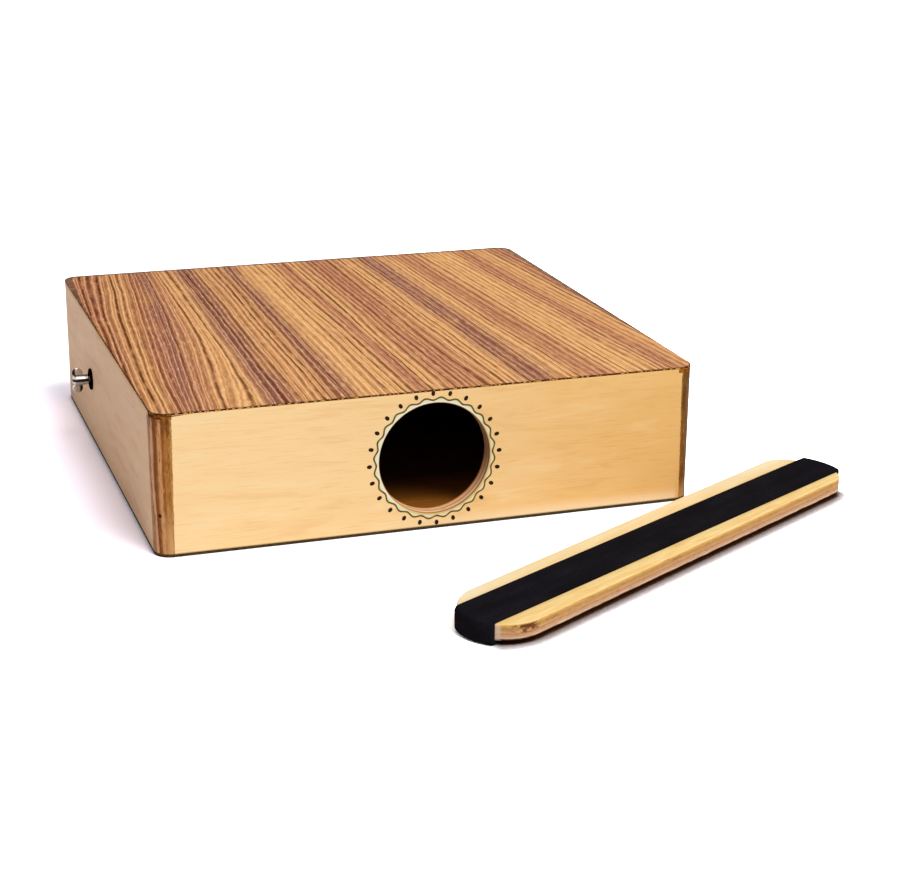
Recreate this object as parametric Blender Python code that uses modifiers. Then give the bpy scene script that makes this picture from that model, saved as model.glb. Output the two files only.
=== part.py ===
"""Travel cajon: a flat square box drum for the lap, with its loose lap bar.

Metres, +Z up. The origin is the centre of the underside. +X runs to the right of someone who faces
the sound hole, and +Y runs from the sound hole to the back.

The box is a glued plywood frame with a thin veneered striking panel. Inside, a beech batten rides on
a steel rod that crosses the box. Six coiled snare wires reach forward from the batten, close under
the striking panel. A wing knob on the left side turns the rod, which lowers the wires off the panel.
"""
import math

import bmesh
import bpy
from mathutils import Matrix, Vector

# Box, outside
WIDTH = 0.305
DEPTH = 0.305
PLY = 0.009
CORNER_RADIUS = PLY
BASE_SHEET = 0.0012
FRAME_HEIGHT = 0.0740
TOP_PLY = 0.003
EDGE_EASE = 0.0005
GAP = 0.0003

# Heights that follow from the stack of sheet, frame and striking panel
FRAME_BOTTOM = BASE_SHEET + GAP
FRAME_TOP = FRAME_BOTTOM + FRAME_HEIGHT
TOP_UNDERSIDE = FRAME_TOP + GAP
HALF_WIDTH = WIDTH / 2
HALF_DEPTH = DEPTH / 2
INNER_X = HALF_WIDTH - PLY
INNER_Y = HALF_DEPTH - PLY

# Sound hole in the front panel
HOLE_RADIUS = 0.0312
HOLE_HEIGHT = 0.040
HOLE_EASE = 0.0006
HOLE_STEPS = 56

# Bottom panel and the glue blocks inside
BOTTOM_PLY = 0.004
BLOCK = 0.016
BLOCK_CHAMFER = 0.008
CLEAT_WIDTH = 0.010
CLEAT_HEIGHT = 0.003
CLEAT_CHAMFER = 0.0012

# Snare rod, its bearings and the knob
ROD_Y = 0.049
ROD_HEIGHT = 0.040
ROD_RADIUS = 0.002
ROD_LEFT = HALF_WIDTH + 0.0095
ROD_RIGHT = 0.1390
BORE_RADIUS = ROD_RADIUS + GAP
BUSH_RADIUS = 0.004
BUSH_FLANGE_RADIUS = 0.0065
BUSH_FLANGE = 0.001
BUSH_INSIDE = 0.006
NUT_ACROSS_FLATS = 0.012
NUT_THICKNESS = 0.004
END_FLANGE_RADIUS = 0.011
END_FLANGE = 0.002
END_BOSS_RADIUS = 0.0045
END_BOSS = 0.007
END_SCREW_PITCH = 0.0152
KNOB_START = 0.0018
KNOB_END = 0.0116
KNOB_RADIUS = 0.0031
KNOB_NOSE_RADIUS = 0.0022
KNOB_BORE_DEPTH = 0.0080
WING_THICKNESS = 0.0018
WING_TIP_RADIUS = 0.0031
WING_TIP_HEIGHT = 0.0046
WING_TIP_OUT = 0.0085
WING_EASE = 0.0005

# Batten on the rod
BATTEN_LENGTH = 0.190
BATTEN_THICKNESS = 0.009
BATTEN_BELOW = 0.010
BATTEN_ABOVE = 0.0335
BATTEN_EASE = 0.001
SADDLE_X = 0.070
SADDLE_WIDTH = 0.012
SADDLE_SHEET = 0.0008
SADDLE_REACH = 0.0092
SADDLE_SCREW_OFFSET = 0.0064

# Snare wires and the plate that holds them
STRANDS = 6
STRAND_SPACING = 0.008
CURLS = 12
POINTS_PER_CURL = 8
WIRE_DIAMETER = 0.0007
COIL_DIAMETER = 0.0024
SNARE_LENGTH = 0.088
SNARE_CLEARANCE = 0.0005
PLATE_LENGTH = 0.058
PLATE_THICKNESS = 0.001
PLATE_BOTTOM = 0.0208
PLATE_TOP = 0.0346
PLATE_SCREW_X = 0.0245
PLATE_SCREW_UP = 0.0262

# Wood screws
SCREW_HEAD_RADIUS = 0.0025
SCREW_HEAD = 0.0014
SCREW_SHANK_RADIUS = 0.0012
SCREW_LENGTH = 0.0078

# Lap bar, lying beside the box
BAR_LENGTH = 0.3055
BAR_WIDTH = 0.048
BAR_PLY = 0.0087
BAR_EASE = 0.0008
FAR_RADIUS = 0.034
FAR_CORNER_RADIUS = 0.014
NEAR_RADIUS = 0.022
NEAR_WIDENING = 150
TAPE_WIDTH = 0.025
TAPE_THICKNESS = 0.0018
TAPE_END_RADIUS = 0.0024
TAPE_OFFSET = -0.0027
TAPE_SKEW = math.radians(-0.8)
BAR_PLACE = (0.1025, -0.2221)
BAR_TURN = math.radians(29.67)

# Facets
ARC_STEPS = 8
ROUND_STEPS = 20
SCREW_STEPS = 12

PARTS = "travel_cajon"
CUTTERS = "cutters"


def clear_scene():
    """Start from an empty scene with one collection for the parts and one for the cutters."""
    for old in list(bpy.data.objects):
        bpy.data.objects.remove(old, do_unlink=True)
    for name in (PARTS, CUTTERS):
        collection = bpy.data.collections.new(name)
        bpy.context.scene.collection.children.link(collection)


def finish(name, colour, roughness, metallic=0.0):
    """A Principled material; the colour is sRGB in 0 to 255."""
    material = bpy.data.materials.new(name)
    material.use_nodes = True
    linear = [(value / 255) ** 2.2 for value in colour]
    shader = material.node_tree.nodes["Principled BSDF"]
    shader.inputs["Base Color"].default_value = (*linear, 1.0)
    shader.inputs["Roughness"].default_value = roughness
    shader.inputs["Metallic"].default_value = metallic
    material.diffuse_color = (*linear, 1.0)
    return material


def add_part(name, mesh, material, location=(0, 0, 0), rotation=(0, 0, 0), parent=None):
    """Link one sub-part, with its own copy of the finish named after it."""
    part = bpy.data.objects.new(name, mesh)
    bpy.data.collections[PARTS].objects.link(part)
    part.parent = parent
    part.location = location
    part.rotation_euler = rotation
    mesh.materials.clear()
    mesh.materials.append(material)
    return part


def add_cutter(name, mesh, location=(0, 0, 0), rotation=(0, 0, 0), parent=None):
    """Link a helper solid that only cuts or joins other pieces."""
    cutter = bpy.data.objects.new(name, mesh)
    bpy.data.collections[CUTTERS].objects.link(cutter)
    cutter.parent = parent
    cutter.location = location
    cutter.rotation_euler = rotation
    cutter.hide_render = True
    cutter.display_type = "WIRE"
    return cutter


def boolean(part, cutter, operation="DIFFERENCE"):
    """Cut or join a part with a helper solid."""
    modifier = part.modifiers.new(f"{operation.lower()}_{cutter.name}", "BOOLEAN")
    modifier.operation = operation
    modifier.object = cutter


def ease_edges(part, width, segments=2, angle=40):
    """Round the sharp edges of a part."""
    modifier = part.modifiers.new("eased_edges", "BEVEL")
    modifier.width = width
    modifier.segments = segments
    modifier.limit_method = "ANGLE"
    modifier.angle_limit = math.radians(angle)


def smooth(mesh, angle=35):
    """Shade a round piece smooth, with its corners kept sharp."""
    mesh.shade_smooth()
    mesh.set_sharp_from_angle(angle=math.radians(angle))


def arc(centre, radius, start, end, steps=ARC_STEPS):
    """Points of a circular arc in a plane, angles in degrees."""
    angles = [math.radians(start + (end - start) * step / steps) for step in range(steps + 1)]
    return [(centre[0] + radius * math.cos(a), centre[1] + radius * math.sin(a)) for a in angles]


def rounded_rectangle(width, depth, radius):
    """Outline of a rectangle with round corners, counter-clockwise."""
    x = width / 2 - radius
    y = depth / 2 - radius
    corners = [((x, y), 0), ((-x, y), 90), ((-x, -y), 180), ((x, -y), 270)]
    points = []
    for centre, start in corners:
        points += arc(centre, radius, start, start + 90)
    return points


def box(name, size):
    """A box centred on its own origin."""
    mesh = bpy.data.meshes.new(name)
    shape = bmesh.new()
    bmesh.ops.create_cube(shape, size=1.0)
    bmesh.ops.scale(shape, vec=Vector(size), verts=shape.verts)
    shape.to_mesh(mesh)
    shape.free()
    return mesh


def rod(name, radius, length, steps=ROUND_STEPS):
    """A round bar along local Z, centred on its own origin."""
    mesh = bpy.data.meshes.new(name)
    shape = bmesh.new()
    bmesh.ops.create_cone(shape, cap_ends=True, segments=steps, radius1=radius,
                          radius2=radius, depth=length)
    shape.to_mesh(mesh)
    shape.free()
    smooth(mesh)
    return mesh


def flat_plate(name, outline, thickness):
    """A plate from a closed outline in local XY, centred on local z = 0."""
    curve = bpy.data.curves.new(name, "CURVE")
    curve.dimensions = "2D"
    curve.fill_mode = "BOTH"
    curve.extrude = thickness / 2
    spline = curve.splines.new("POLY")
    spline.points.add(len(outline) - 1)
    for point, (x, y) in zip(spline.points, outline):
        point.co = (x, y, 0.0, 1.0)
    spline.use_cyclic_u = True
    holder = bpy.data.objects.new(name, curve)
    bpy.context.scene.collection.objects.link(holder)
    evaluated = holder.evaluated_get(bpy.context.evaluated_depsgraph_get())
    mesh = bpy.data.meshes.new_from_object(evaluated)
    bpy.data.objects.remove(holder, do_unlink=True)
    bpy.data.curves.remove(curve)
    shape = bmesh.new()
    shape.from_mesh(mesh)
    bmesh.ops.remove_doubles(shape, verts=shape.verts, dist=0.00001)
    bmesh.ops.recalc_face_normals(shape, faces=shape.faces)
    shape.to_mesh(mesh)
    shape.free()
    mesh.name = name
    return mesh


def turned(name, profile, material=None, steps=ROUND_STEPS, parent=None, cutter=False,
           location=(0, 0, 0), rotation=(0, 0, 0), closed=False):
    """A turned piece: a profile of (radius, height), outer side top to bottom, about local Z."""
    mesh = bpy.data.meshes.new(name)
    shape = bmesh.new()
    points = [shape.verts.new((radius, 0.0, height)) for radius, height in profile]
    for first, second in zip(points, points[1:]):
        shape.edges.new((first, second))
    if closed:
        shape.edges.new((points[-1], points[0]))
    shape.to_mesh(mesh)
    shape.free()
    if cutter:
        piece = add_cutter(name, mesh, location, rotation, parent)
    else:
        piece = add_part(name, mesh, material, location, rotation, parent)
    screw = piece.modifiers.new("turned", "SCREW")
    screw.axis = "Z"
    screw.angle = math.radians(360)
    screw.steps = steps
    screw.render_steps = steps
    screw.use_merge_vertices = True
    screw.merge_threshold = 0.00001
    screw.use_smooth_shade = True
    return piece


def build_panels(finishes):
    """Striking panel, four walls, bottom panel and the thin sheet under it."""
    outline = rounded_rectangle(WIDTH, DEPTH, CORNER_RADIUS)
    mesh = flat_plate("top_panel", outline, TOP_PLY)
    top = add_part("top_panel", mesh, finishes["veneer"], (0, 0, TOP_UNDERSIDE + TOP_PLY / 2))
    ease_edges(top, EDGE_EASE)

    mesh = flat_plate("base_sheet", outline, BASE_SHEET)
    add_part("base_sheet", mesh, finishes["sheet"], (0, 0, BASE_SHEET / 2))

    mesh = box("bottom_panel", (2 * (INNER_X - GAP), 2 * (INNER_Y - GAP), BOTTOM_PLY))
    add_part("bottom_panel", mesh, finishes["ply"], (0, 0, FRAME_BOTTOM + BOTTOM_PLY / 2))

    wall_middle = FRAME_BOTTOM + FRAME_HEIGHT / 2
    wall_y = HALF_DEPTH - PLY / 2
    wall_size = (2 * (INNER_X - GAP), PLY, FRAME_HEIGHT)
    front = add_part("front_panel", box("front_panel", wall_size), finishes["ply"],
                     (0, -wall_y, wall_middle))
    add_part("back_panel", box("back_panel", wall_size), finishes["ply"], (0, wall_y, wall_middle))

    reach = PLY / 2 + 0.002
    rim = PLY / 2 - HOLE_EASE
    wide = HOLE_RADIUS + HOLE_EASE + 0.002
    profile = [(0, reach), (wide, reach), (HOLE_RADIUS, rim), (HOLE_RADIUS, -rim),
               (wide, -reach), (0, -reach)]
    hole = turned("sound_hole", profile, steps=HOLE_STEPS, cutter=True,
                  location=(0, -wall_y, HOLE_HEIGHT), rotation=(math.radians(90), 0, 0))
    boolean(front, hole)

    for name, side in (("left_side_panel", -1), ("right_side_panel", 1)):
        back_arc = arc((INNER_X, INNER_Y), CORNER_RADIUS, 90, 0)
        front_arc = arc((INNER_X, -INNER_Y), CORNER_RADIUS, 0, -90)
        outline = [(side * x, y) for x, y in back_arc + front_arc]
        mesh = flat_plate(name, outline, FRAME_HEIGHT)
        panel = add_part(name, mesh, finishes["ply"], (0, 0, wall_middle))
        if side < 0:
            mesh = rod("bush_hole", BUSH_RADIUS + GAP, 3 * PLY)
            place = (-HALF_WIDTH + PLY / 2, ROD_Y, ROD_HEIGHT)
            boolean(panel, add_cutter("bush_hole", mesh, place, (0, math.radians(90), 0)))
        else:
            for label, step in (("lower", -1), ("upper", 1)):
                depth = SCREW_LENGTH - END_FLANGE
                mesh = rod(f"end_screw_hole_{label}", SCREW_SHANK_RADIUS + GAP, 2 * depth, SCREW_STEPS)
                place = (INNER_X, ROD_Y, ROD_HEIGHT + step * END_SCREW_PITCH / 2)
                cutter = add_cutter(f"end_screw_hole_{label}", mesh, place, (0, math.radians(90), 0))
                boolean(panel, cutter)


def build_blocks(finishes):
    """Glue blocks in the four corners, and low cleats along the bottom of the walls."""
    inset_x = INNER_X - GAP
    inset_y = INNER_Y - GAP
    floor = FRAME_BOTTOM + BOTTOM_PLY + GAP
    height = FRAME_TOP - floor
    outline = [(0, 0), (-BLOCK, 0), (-BLOCK, -BLOCK_CHAMFER), (-BLOCK_CHAMFER, -BLOCK), (0, -BLOCK)]
    corners = (("back_right", 1, 1), ("back_left", -1, 1), ("front_left", -1, -1),
               ("front_right", 1, -1))
    for turn, (label, x, y) in enumerate(corners):
        name = f"corner_block_{label}"
        place = (x * inset_x, y * inset_y, floor + height / 2)
        mesh = flat_plate(name, outline, height)
        add_part(name, mesh, finishes["spruce"], place, (0, 0, math.radians(90 * turn)))

    length = 2 * (inset_x - BLOCK - GAP)
    outline = [(0, 0), (CLEAT_WIDTH, 0), (CLEAT_WIDTH, CLEAT_HEIGHT - CLEAT_CHAMFER),
               (CLEAT_WIDTH - CLEAT_CHAMFER, CLEAT_HEIGHT), (0, CLEAT_HEIGHT)]
    upright = Matrix(((0, 0, 1), (1, 0, 0), (0, 1, 0)))
    for turn, label in enumerate(("front", "right", "back", "left")):
        name = f"bottom_cleat_{label}"
        spin = Matrix.Rotation(math.radians(90 * turn), 3, "Z")
        place = spin @ Vector((0, -inset_y, floor))
        mesh = flat_plate(name, outline, length)
        add_part(name, mesh, finishes["spruce"], place, (spin @ upright).to_euler())


def wood_screw(name, material, location, rotation, parent=None):
    """Pan head screw: the shank runs down local -Z from the underside of its head at z = 0."""
    tip = SCREW_SHANK_RADIUS * 1.5
    profile = [(0, SCREW_HEAD), (SCREW_HEAD_RADIUS * 0.62, SCREW_HEAD * 0.92),
               (SCREW_HEAD_RADIUS, SCREW_HEAD * 0.45), (SCREW_HEAD_RADIUS, 0),
               (SCREW_SHANK_RADIUS, 0), (SCREW_SHANK_RADIUS, -SCREW_LENGTH + tip),
               (0, -SCREW_LENGTH)]
    return turned(name, profile, material, SCREW_STEPS, parent, location=location,
                  rotation=rotation)


def build_bearings(finishes):
    """Flanged bush and nut in the left wall, and the blind end bush on the right wall."""
    outward = (0, math.radians(-90), 0)
    through = PLY + BUSH_INSIDE + GAP
    profile = [(BORE_RADIUS, BUSH_FLANGE), (BUSH_FLANGE_RADIUS - 0.0003, BUSH_FLANGE),
               (BUSH_FLANGE_RADIUS, BUSH_FLANGE * 0.6), (BUSH_FLANGE_RADIUS, 0), (BUSH_RADIUS, 0),
               (BUSH_RADIUS, -through), (BORE_RADIUS, -through)]
    turned("knob_bush", profile, finishes["nylon"], location=(-HALF_WIDTH - GAP, ROD_Y, ROD_HEIGHT),
           rotation=outward, closed=True)

    corner = NUT_ACROSS_FLATS / math.sqrt(3)
    hexagon = [(corner * math.cos(a), corner * math.sin(a))
               for a in (math.radians(60 * step) for step in range(6))]
    mesh = flat_plate("bush_nut", hexagon, NUT_THICKNESS)
    place = (-INNER_X + GAP + NUT_THICKNESS / 2, ROD_Y, ROD_HEIGHT)
    nut = add_part("bush_nut", mesh, finishes["nylon"], place, outward)
    mesh = rod("nut_bore", BUSH_RADIUS + GAP, 2 * NUT_THICKNESS)
    boolean(nut, add_cutter("nut_bore", mesh, place, outward))

    face = INNER_X - GAP
    depth = END_FLANGE + END_BOSS
    blind = 0.0012
    profile = [(BORE_RADIUS, depth), (END_BOSS_RADIUS, depth), (END_BOSS_RADIUS, END_FLANGE),
               (END_FLANGE_RADIUS, END_FLANGE), (END_FLANGE_RADIUS, 0), (0, 0), (0, blind),
               (BORE_RADIUS, blind)]
    bush = turned("end_bush", profile, finishes["nylon"], location=(face, ROD_Y, ROD_HEIGHT),
                  rotation=outward, closed=True)
    for label, step in (("lower", -1), ("upper", 1)):
        up = ROD_HEIGHT + step * END_SCREW_PITCH / 2
        mesh = rod(f"end_flange_hole_{label}", SCREW_SHANK_RADIUS + GAP, 4 * END_FLANGE, SCREW_STEPS)
        hole = add_cutter(f"end_flange_hole_{label}", mesh, (face, ROD_Y, up), outward)
        boolean(bush, hole)
        wood_screw(f"end_bush_screw_{label}", finishes["steel"],
                   (face - END_FLANGE - GAP, ROD_Y, up), outward)


def build_knob(finishes, pivot):
    """Wing knob: a turned hub with a blind bore, joined with two flared wings."""
    start = HALF_WIDTH + KNOB_START
    length = KNOB_END - KNOB_START
    nose = length - 0.0012
    profile = [(0, length), (KNOB_NOSE_RADIUS * 0.6, length - 0.0001),
               (KNOB_NOSE_RADIUS, length - 0.0005), (KNOB_RADIUS * 0.94, nose),
               (KNOB_RADIUS, nose - 0.0012), (KNOB_RADIUS, 0.0004), (KNOB_RADIUS - 0.0004, 0),
               (BORE_RADIUS, 0), (BORE_RADIUS, KNOB_BORE_DEPTH), (0, KNOB_BORE_DEPTH)]
    outward = (0, math.radians(-90), 0)
    hub = turned("wing_knob", profile, finishes["chrome"], location=(-start, 0, 0),
                 rotation=outward, parent=pivot)

    out = WING_TIP_OUT - KNOB_START
    root_low = out - 0.0030
    root_high = out + 0.0018
    waist = KNOB_RADIUS * 0.9
    upper = [(root_low, waist)] + arc((out, WING_TIP_HEIGHT), WING_TIP_RADIUS, 190, -20, 12)
    upper.append((root_high, waist))
    outline = upper + [(u, -v) for u, v in reversed(upper)]
    mesh = flat_plate("knob_wings", outline, WING_THICKNESS)
    facing = Matrix(((-1, 0, 0), (0, 0, 1), (0, 1, 0))).to_euler()
    wings = add_cutter("knob_wings", mesh, (-start, 0, 0), facing, pivot)
    ease_edges(wings, WING_EASE)
    cut = rod("wing_relief", BORE_RADIUS, 2 * KNOB_BORE_DEPTH)
    boolean(wings, add_cutter("wing_relief", cut, (-start, 0, 0), outward, pivot))
    boolean(hub, wings, "UNION")


def saddle_profile():
    """Mid line of the saddle sheet in (y, z): a tab, an arch over the rod and a second tab."""
    middle = ROD_RADIUS + GAP + SADDLE_SHEET / 2
    tab = -ROD_RADIUS + SADDLE_SHEET / 2
    turn = math.degrees(math.acos(tab / middle))
    return [(tab, -SADDLE_REACH)] + arc((0, 0), middle, -turn, turn, 12) + [(tab, SADDLE_REACH)]


def build_saddle(name, material, x, pivot):
    """Pressed steel saddle: its profile drawn out along X and given its sheet thickness."""
    mesh = bpy.data.meshes.new(name)
    shape = bmesh.new()
    points = [shape.verts.new((-SADDLE_WIDTH / 2, y, z)) for y, z in saddle_profile()]
    edges = [shape.edges.new(pair) for pair in zip(points, points[1:])]
    swept = bmesh.ops.extrude_edge_only(shape, edges=edges)
    moved = [item for item in swept["geom"] if isinstance(item, bmesh.types.BMVert)]
    bmesh.ops.translate(shape, vec=(SADDLE_WIDTH, 0, 0), verts=moved)
    bmesh.ops.recalc_face_normals(shape, faces=shape.faces)
    shape.to_mesh(mesh)
    shape.free()
    saddle = add_part(name, mesh, material, (x, 0, 0), parent=pivot)
    thickness = saddle.modifiers.new("sheet", "SOLIDIFY")
    thickness.thickness = SADDLE_SHEET
    thickness.offset = 0
    thickness.use_even_offset = True
    return saddle


def build_batten(finishes, pivot):
    """Beech batten, held to the rod by two saddles with two screws each."""
    front = -ROD_RADIUS - GAP - BATTEN_THICKNESS
    middle = (BATTEN_ABOVE - BATTEN_BELOW) / 2
    mesh = box("snare_batten", (BATTEN_LENGTH, BATTEN_THICKNESS, BATTEN_ABOVE + BATTEN_BELOW))
    batten = add_part("snare_batten", mesh, finishes["beech"],
                      (0, front + BATTEN_THICKNESS / 2, middle), parent=pivot)
    ease_edges(batten, BATTEN_EASE)
    backward = (math.radians(-90), 0, 0)
    for side, x in (("left", -SADDLE_X), ("right", SADDLE_X)):
        saddle = build_saddle(f"rod_saddle_{side}", finishes["steel"], x, pivot)
        for label, z in (("lower", -SADDLE_SCREW_OFFSET), ("upper", SADDLE_SCREW_OFFSET)):
            name = f"saddle_screw_{side}_{label}"
            head = -ROD_RADIUS + SADDLE_SHEET + GAP
            mesh = rod(f"{name}_hole", SCREW_SHANK_RADIUS + GAP, 2 * SCREW_LENGTH + GAP, SCREW_STEPS)
            hole = add_cutter(f"{name}_hole", mesh, (x, head, z), backward, pivot)
            boolean(saddle, hole)
            boolean(batten, hole)
            wood_screw(name, finishes["steel"], (x, head, z), backward, pivot)
    return batten, front


def coil_points():
    """Centre line of one snare wire from the plate forward, as points along local -Y.

    A short straight lead, then a helix that turns once in each pitch, then a straight tail. Lead
    and tail lie on the underside of the helix, square to the plate.
    """
    radius = (COIL_DIAMETER - WIRE_DIAMETER) / 2
    lead = 2 * WIRE_DIAMETER
    pitch = (SNARE_LENGTH - 2 * lead) / CURLS
    points = [(0.0, 0.0, -radius)]
    for step in range(CURLS * POINTS_PER_CURL + 1):
        angle = 2 * math.pi * step / POINTS_PER_CURL
        along = lead + pitch * step / POINTS_PER_CURL
        points.append((radius * math.sin(angle), -along, -radius * math.cos(angle)))
    points.append((0.0, -SNARE_LENGTH, -radius))
    return points


def least_gap(points):
    """Least clear distance of the tube to itself, between points half a turn or more apart."""
    apart = POINTS_PER_CURL // 2
    least = min(math.dist(first, second) for index, first in enumerate(points)
                for second in points[index + apart:])
    return least - WIRE_DIAMETER


def build_snare(finishes, pivot, batten, batten_front):
    """Brass plate on the batten's front, and the coiled wires that start square to it."""
    plate_y = batten_front - GAP - PLATE_THICKNESS / 2
    middle = (PLATE_TOP + PLATE_BOTTOM) / 2
    mesh = box("snare_plate", (PLATE_LENGTH, PLATE_THICKNESS, PLATE_TOP - PLATE_BOTTOM))
    plate = add_part("snare_plate", mesh, finishes["brass"], (0, plate_y, middle), parent=pivot)
    forward = (math.radians(90), 0, 0)
    head = plate_y - PLATE_THICKNESS / 2 - GAP
    for label, x in (("left", -PLATE_SCREW_X), ("right", PLATE_SCREW_X)):
        name = f"plate_screw_{label}"
        place = (x, head, PLATE_SCREW_UP)
        mesh = rod(f"{name}_hole", SCREW_SHANK_RADIUS + GAP, 2 * SCREW_LENGTH + GAP, SCREW_STEPS)
        hole = add_cutter(f"{name}_hole", mesh, place, forward, pivot)
        boolean(plate, hole)
        boolean(batten, hole)
        wood_screw(name, finishes["steel"], place, forward, pivot)

    points = coil_points()
    print(f"least gap of a snare wire to itself: {least_gap(points) * 1000:.2f} mm")
    line_height = TOP_UNDERSIDE - ROD_HEIGHT - SNARE_CLEARANCE - COIL_DIAMETER / 2
    for index in range(STRANDS):
        name = f"snare_wire_{index + 1}"
        curve = bpy.data.curves.new(name, "CURVE")
        curve.dimensions = "3D"
        curve.fill_mode = "FULL"
        curve.bevel_depth = WIRE_DIAMETER / 2
        curve.bevel_resolution = 1
        curve.use_fill_caps = True
        spline = curve.splines.new("POLY")
        spline.points.add(len(points) - 1)
        for target, point in zip(spline.points, points):
            target.co = (*point, 1.0)
        x = (index - (STRANDS - 1) / 2) * STRAND_SPACING
        place = (x, plate_y - PLATE_THICKNESS / 2 - GAP, line_height)
        add_part(name, curve, finishes["wire"], place, parent=pivot)


def build_snare_gear(finishes):
    """Everything that the knob turns, on one pivot along the rod's axis."""
    pivot = bpy.data.objects.new("snare_pivot", None)
    bpy.data.collections[PARTS].objects.link(pivot)
    pivot.location = (0, ROD_Y, ROD_HEIGHT)
    mesh = rod("snare_rod", ROD_RADIUS, ROD_LEFT + ROD_RIGHT)
    add_part("snare_rod", mesh, finishes["steel"], ((ROD_RIGHT - ROD_LEFT) / 2, 0, 0),
             (0, math.radians(90), 0), pivot)
    build_knob(finishes, pivot)
    batten, front = build_batten(finishes, pivot)
    build_snare(finishes, pivot, batten, front)


def bar_outline(grow=0.0):
    """Outline of the lap bar, counter-clockwise, grown outwards by a distance.

    It is a chain of arcs on common tangents. The far end is a shallow arc between two tighter
    corners. The near end is rounder, and runs out in a wider arc towards its back side.
    """
    half_width = BAR_WIDTH / 2
    far_x = BAR_LENGTH / 2 - FAR_RADIUS
    corner_y = half_width - FAR_CORNER_RADIUS
    corner_x = far_x + math.sqrt((FAR_RADIUS - FAR_CORNER_RADIUS) ** 2 - corner_y ** 2)
    turn = math.degrees(math.atan2(corner_y, corner_x - far_x))
    near_x = NEAR_RADIUS - BAR_LENGTH / 2
    near_y = NEAR_RADIUS - half_width
    sine = math.sin(math.radians(NEAR_WIDENING))
    cosine = math.cos(math.radians(NEAR_WIDENING))
    wide_radius = (half_width - near_y - NEAR_RADIUS * sine) / (1 - sine)
    extra = wide_radius - NEAR_RADIUS
    chain = (((corner_x, -corner_y), FAR_CORNER_RADIUS, -90, -turn),
             ((far_x, 0), FAR_RADIUS, -turn, turn),
             ((corner_x, corner_y), FAR_CORNER_RADIUS, turn, 90),
             ((near_x - extra * cosine, near_y - extra * sine), wide_radius, 90, NEAR_WIDENING),
             ((near_x, near_y), NEAR_RADIUS, NEAR_WIDENING, 270))
    points = []
    for centre, radius, start, end in chain:
        points += [point for point in arc(centre, radius + grow, start, end)
                   if not points or math.dist(point, points[-1]) > GAP]
    return points


def build_lap_bar(finishes):
    """Plywood bar with round ends, and the tape band that runs round it lengthwise."""
    place = bpy.data.objects.new("lap_bar_place", None)
    bpy.data.collections[PARTS].objects.link(place)
    place.location = (*BAR_PLACE, 0)
    place.rotation_euler = (0, 0, BAR_TURN)
    wrap = TAPE_THICKNESS + GAP
    height = BAR_PLY + 2 * wrap
    mesh = flat_plate("lap_bar", bar_outline(), BAR_PLY)
    bar = add_part("lap_bar", mesh, finishes["ply"], (0, 0, height / 2), parent=place)
    ease_edges(bar, BAR_EASE)

    mesh = flat_plate("lap_bar_tape", bar_outline(wrap), height)
    tape = add_part("lap_bar_tape", mesh, finishes["tape"], (0, 0, height / 2), parent=place)
    ease_edges(tape, TAPE_END_RADIUS, 3)
    mesh = box("tape_strip", (2 * BAR_LENGTH, TAPE_WIDTH, 4 * height))
    strip = add_cutter("tape_strip", mesh, (0, TAPE_OFFSET, height / 2), (0, 0, TAPE_SKEW), place)
    boolean(tape, strip, "INTERSECT")
    mesh = flat_plate("tape_inside", bar_outline(GAP), BAR_PLY + 2 * GAP)
    inside = add_cutter("tape_inside", mesh, (0, 0, height / 2), parent=place)
    boolean(tape, inside)


def main():
    """Build the box, the snare gear and the lap bar."""
    clear_scene()
    finishes = {
        "veneer": finish("zebrano_veneer", (196, 132, 84), 0.35),
        "ply": finish("birch_plywood", (238, 202, 146), 0.40),
        "sheet": finish("black_base_sheet", (34, 30, 24), 0.85),
        "spruce": finish("spruce_block", (222, 188, 134), 0.70),
        "beech": finish("beech_batten", (206, 160, 112), 0.60),
        "nylon": finish("black_nylon", (30, 30, 32), 0.45),
        "steel": finish("bright_steel", (190, 192, 196), 0.30, 1.0),
        "chrome": finish("chromed_zinc", (214, 216, 220), 0.12, 1.0),
        "brass": finish("sheet_brass", (198, 164, 92), 0.35, 1.0),
        "wire": finish("spring_steel_wire", (176, 178, 180), 0.35, 1.0),
        "tape": finish("black_loop_tape", (24, 24, 27), 0.95),
    }
    build_panels(finishes)
    build_blocks(finishes)
    build_bearings(finishes)
    build_snare_gear(finishes)
    build_lap_bar(finishes)


main()
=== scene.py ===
"""Looks of the travel cajon: veneered lap drum, snare gear and loose lap bar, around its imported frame.

Metres, +Z up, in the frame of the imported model. Sizes are worked out from the frame's own boxes.
"""
import logging
import math
from dataclasses import dataclass, field
from enum import Enum

import bmesh
import bpy
import numpy as np
from mathutils import Matrix, Vector


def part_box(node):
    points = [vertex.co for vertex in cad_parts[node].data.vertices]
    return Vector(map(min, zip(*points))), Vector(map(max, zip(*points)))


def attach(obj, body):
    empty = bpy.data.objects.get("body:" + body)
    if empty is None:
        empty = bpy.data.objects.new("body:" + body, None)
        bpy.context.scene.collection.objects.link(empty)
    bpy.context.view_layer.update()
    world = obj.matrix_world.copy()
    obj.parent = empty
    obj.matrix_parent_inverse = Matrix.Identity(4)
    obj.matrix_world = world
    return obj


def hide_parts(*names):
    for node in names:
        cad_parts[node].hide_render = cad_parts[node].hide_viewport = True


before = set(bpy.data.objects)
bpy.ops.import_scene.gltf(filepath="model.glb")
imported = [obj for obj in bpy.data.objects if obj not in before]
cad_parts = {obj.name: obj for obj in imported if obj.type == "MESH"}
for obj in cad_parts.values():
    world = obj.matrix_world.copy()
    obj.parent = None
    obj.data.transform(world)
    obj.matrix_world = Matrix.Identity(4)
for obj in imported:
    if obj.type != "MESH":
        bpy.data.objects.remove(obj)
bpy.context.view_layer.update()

MM = 0.001
LOG = logging.getLogger("travel_cajon")


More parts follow.
